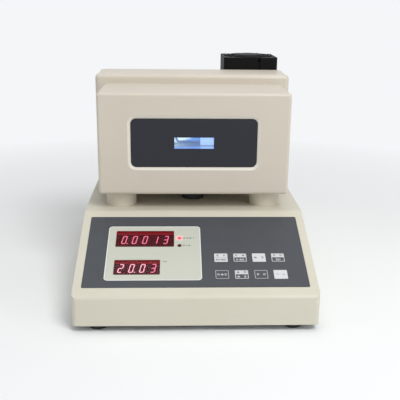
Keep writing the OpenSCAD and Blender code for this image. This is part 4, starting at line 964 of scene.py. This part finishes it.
def lightSheetFinish(look):
    material = solidFinish(
        "lightSheet", colour=(60, 96, 150), patch=(50, 84, 140), dust=0.0, rough=(0.4, 0.5))
    tree = material.node_tree
    place = addPlace(tree)
    split = tree.nodes.new("ShaderNodeSeparateXYZ")
    tree.links.new(place, split.inputs[0])
    across = addRange(tree, split.outputs["X"], look["left"], look["right"], 0.0, 1.0)
    upward = addRange(tree, split.outputs["Z"], look["low"], look["high"], look["lowShare"], 0.0)
    noise = addNoise(tree, place, look["cloudScale"])
    cloud = addRange(tree, noise, *look["cloudLevels"], -look["cloud"], look["cloud"])
    total = addMath(tree, "ADD", addMath(tree, "ADD", across, upward), cloud, True)
    share = addRange(tree, total, *look["paleToMid"], 0.0, 1.0)
    colour = addMix(tree, share, linear(look["pale"]), linear(look["mid"]))
    share = addRange(tree, total, *look["midToDeep"], 0.0, 1.0)
    colour = addMix(tree, share, colour, linear(look["deep"]))
    setGlow(material, colour, look["strength"])
    return material


dress(lightSheetFinish(lightLook), "back_light")
print("window and cell dressed")


# rear switch

rockerLook = {
    "pivot": (30.0, 196.966, 44.0),  # mm
    "swing": 8.0,                    # degrees, the lower half pressed in at rest
    "face": 4.8, "tilt": 8.0, "ink": 0.04,
    "markAt": 4.6, "mark": 3.2, "bar": 0.8, "barCorner": 0.2, "hole": 1.8,
}
rockerPlastic = solidFinish(
    "rockerPlastic", colour=(34, 34, 35), patch=(42, 42, 43), worn=(80, 80, 82), rub=(64, 64, 65),
    rubShare=0.2, dust=0.05, rough=(0.3, 0.42), grain=0.0005, grainHeight=0.00002)
dress(rockerPlastic, "power_rocker")


def makeRockerMarks(look):  # a bar for on and a ring for off
    mesh = bmesh.new()
    pivot = Vector(look["pivot"]) * mm
    turned = Matrix.Translation(pivot) @ Matrix.Rotation(math.radians(-look["swing"]), 4, "X")
    rise = math.radians(look["tilt"])
    for side in (1, -1):
        hinge = Matrix.Translation((0, look["face"] * mm, 0))
        lean = Matrix.Rotation(-side * rise, 4, "X")
        stand = Matrix.Rotation(math.radians(-90), 4, "X")
        matrix = turned @ hinge @ lean @ stand
        centre, mark, hole = -side * look["markAt"], look["mark"], look["hole"]
        if side < 0:  # the lower half, pressed in at rest
            bar = roundOutline(look["bar"], mark, look["barCorner"], 0, centre, 3)
            addSlab(mesh, bar, 0, look["ink"], matrix)
        else:
            outer = roundOutline(mark, mark, mark / 2, 0, centre, 8)
            inner = roundOutline(hole, hole, hole / 2, 0, centre, 8)
            addSlab(mesh, outer, 0, look["ink"], matrix, inner)
    finishPiece("rocker_marks", mesh, [inkPale], "rocker")


makeRockerMarks(rockerLook)
print("rear switch dressed")


# floor

def floorFinish(values):  # pale paper near the object, one with the backdrop further out
    material = solidFinish(
        "floorPaper", colour=values["floor"], patch=values["floor"], patchShare=0.0,
        worn=values["floor"], rub=values["floor"], dust=0.0, rough=(0.7, 0.8), grain=0.002,
        grainHeight=0.00001, shine=0.2, edge=0.0001)
    tree = material.node_tree
    output = next(n for n in tree.nodes if n.type == "OUTPUT_MATERIAL")
    paper = output.inputs[0].links[0].from_socket
    spot = addGroup(
        tree, spotGroup, Point=(0, 0, 0), Inner=values["fadeFrom"], Reach=values["fadeTo"])
    far = addMath(tree, "SUBTRACT", 1.0, spot.outputs["Near"])
    share = addMath(tree, "MULTIPLY", far, addSeenRays(tree))
    glow = tree.nodes.new("ShaderNodeEmission")
    glow.inputs["Color"].default_value = linear(values["backdrop"])
    mixed = tree.nodes.new("ShaderNodeMixShader")
    tree.links.new(share, mixed.inputs[0])
    tree.links.new(paper, mixed.inputs[1])
    tree.links.new(glow.outputs[0], mixed.inputs[2])
    tree.links.new(mixed.outputs[0], output.inputs[0])
    return material


def makeFloor(values):
    mesh = bmesh.new()
    parts = values["floorParts"]
    bmesh.ops.create_grid(mesh, x_segments=parts, y_segments=parts, size=values["floorSize"] / 2)
    data = bpy.data.meshes.new("floorSheet")
    mesh.to_mesh(data)
    mesh.free()
    data.materials.append(floorFinish(values))
    floor = addObject("floorSheet", data)


makeFloor(studio)


print("scene ready")
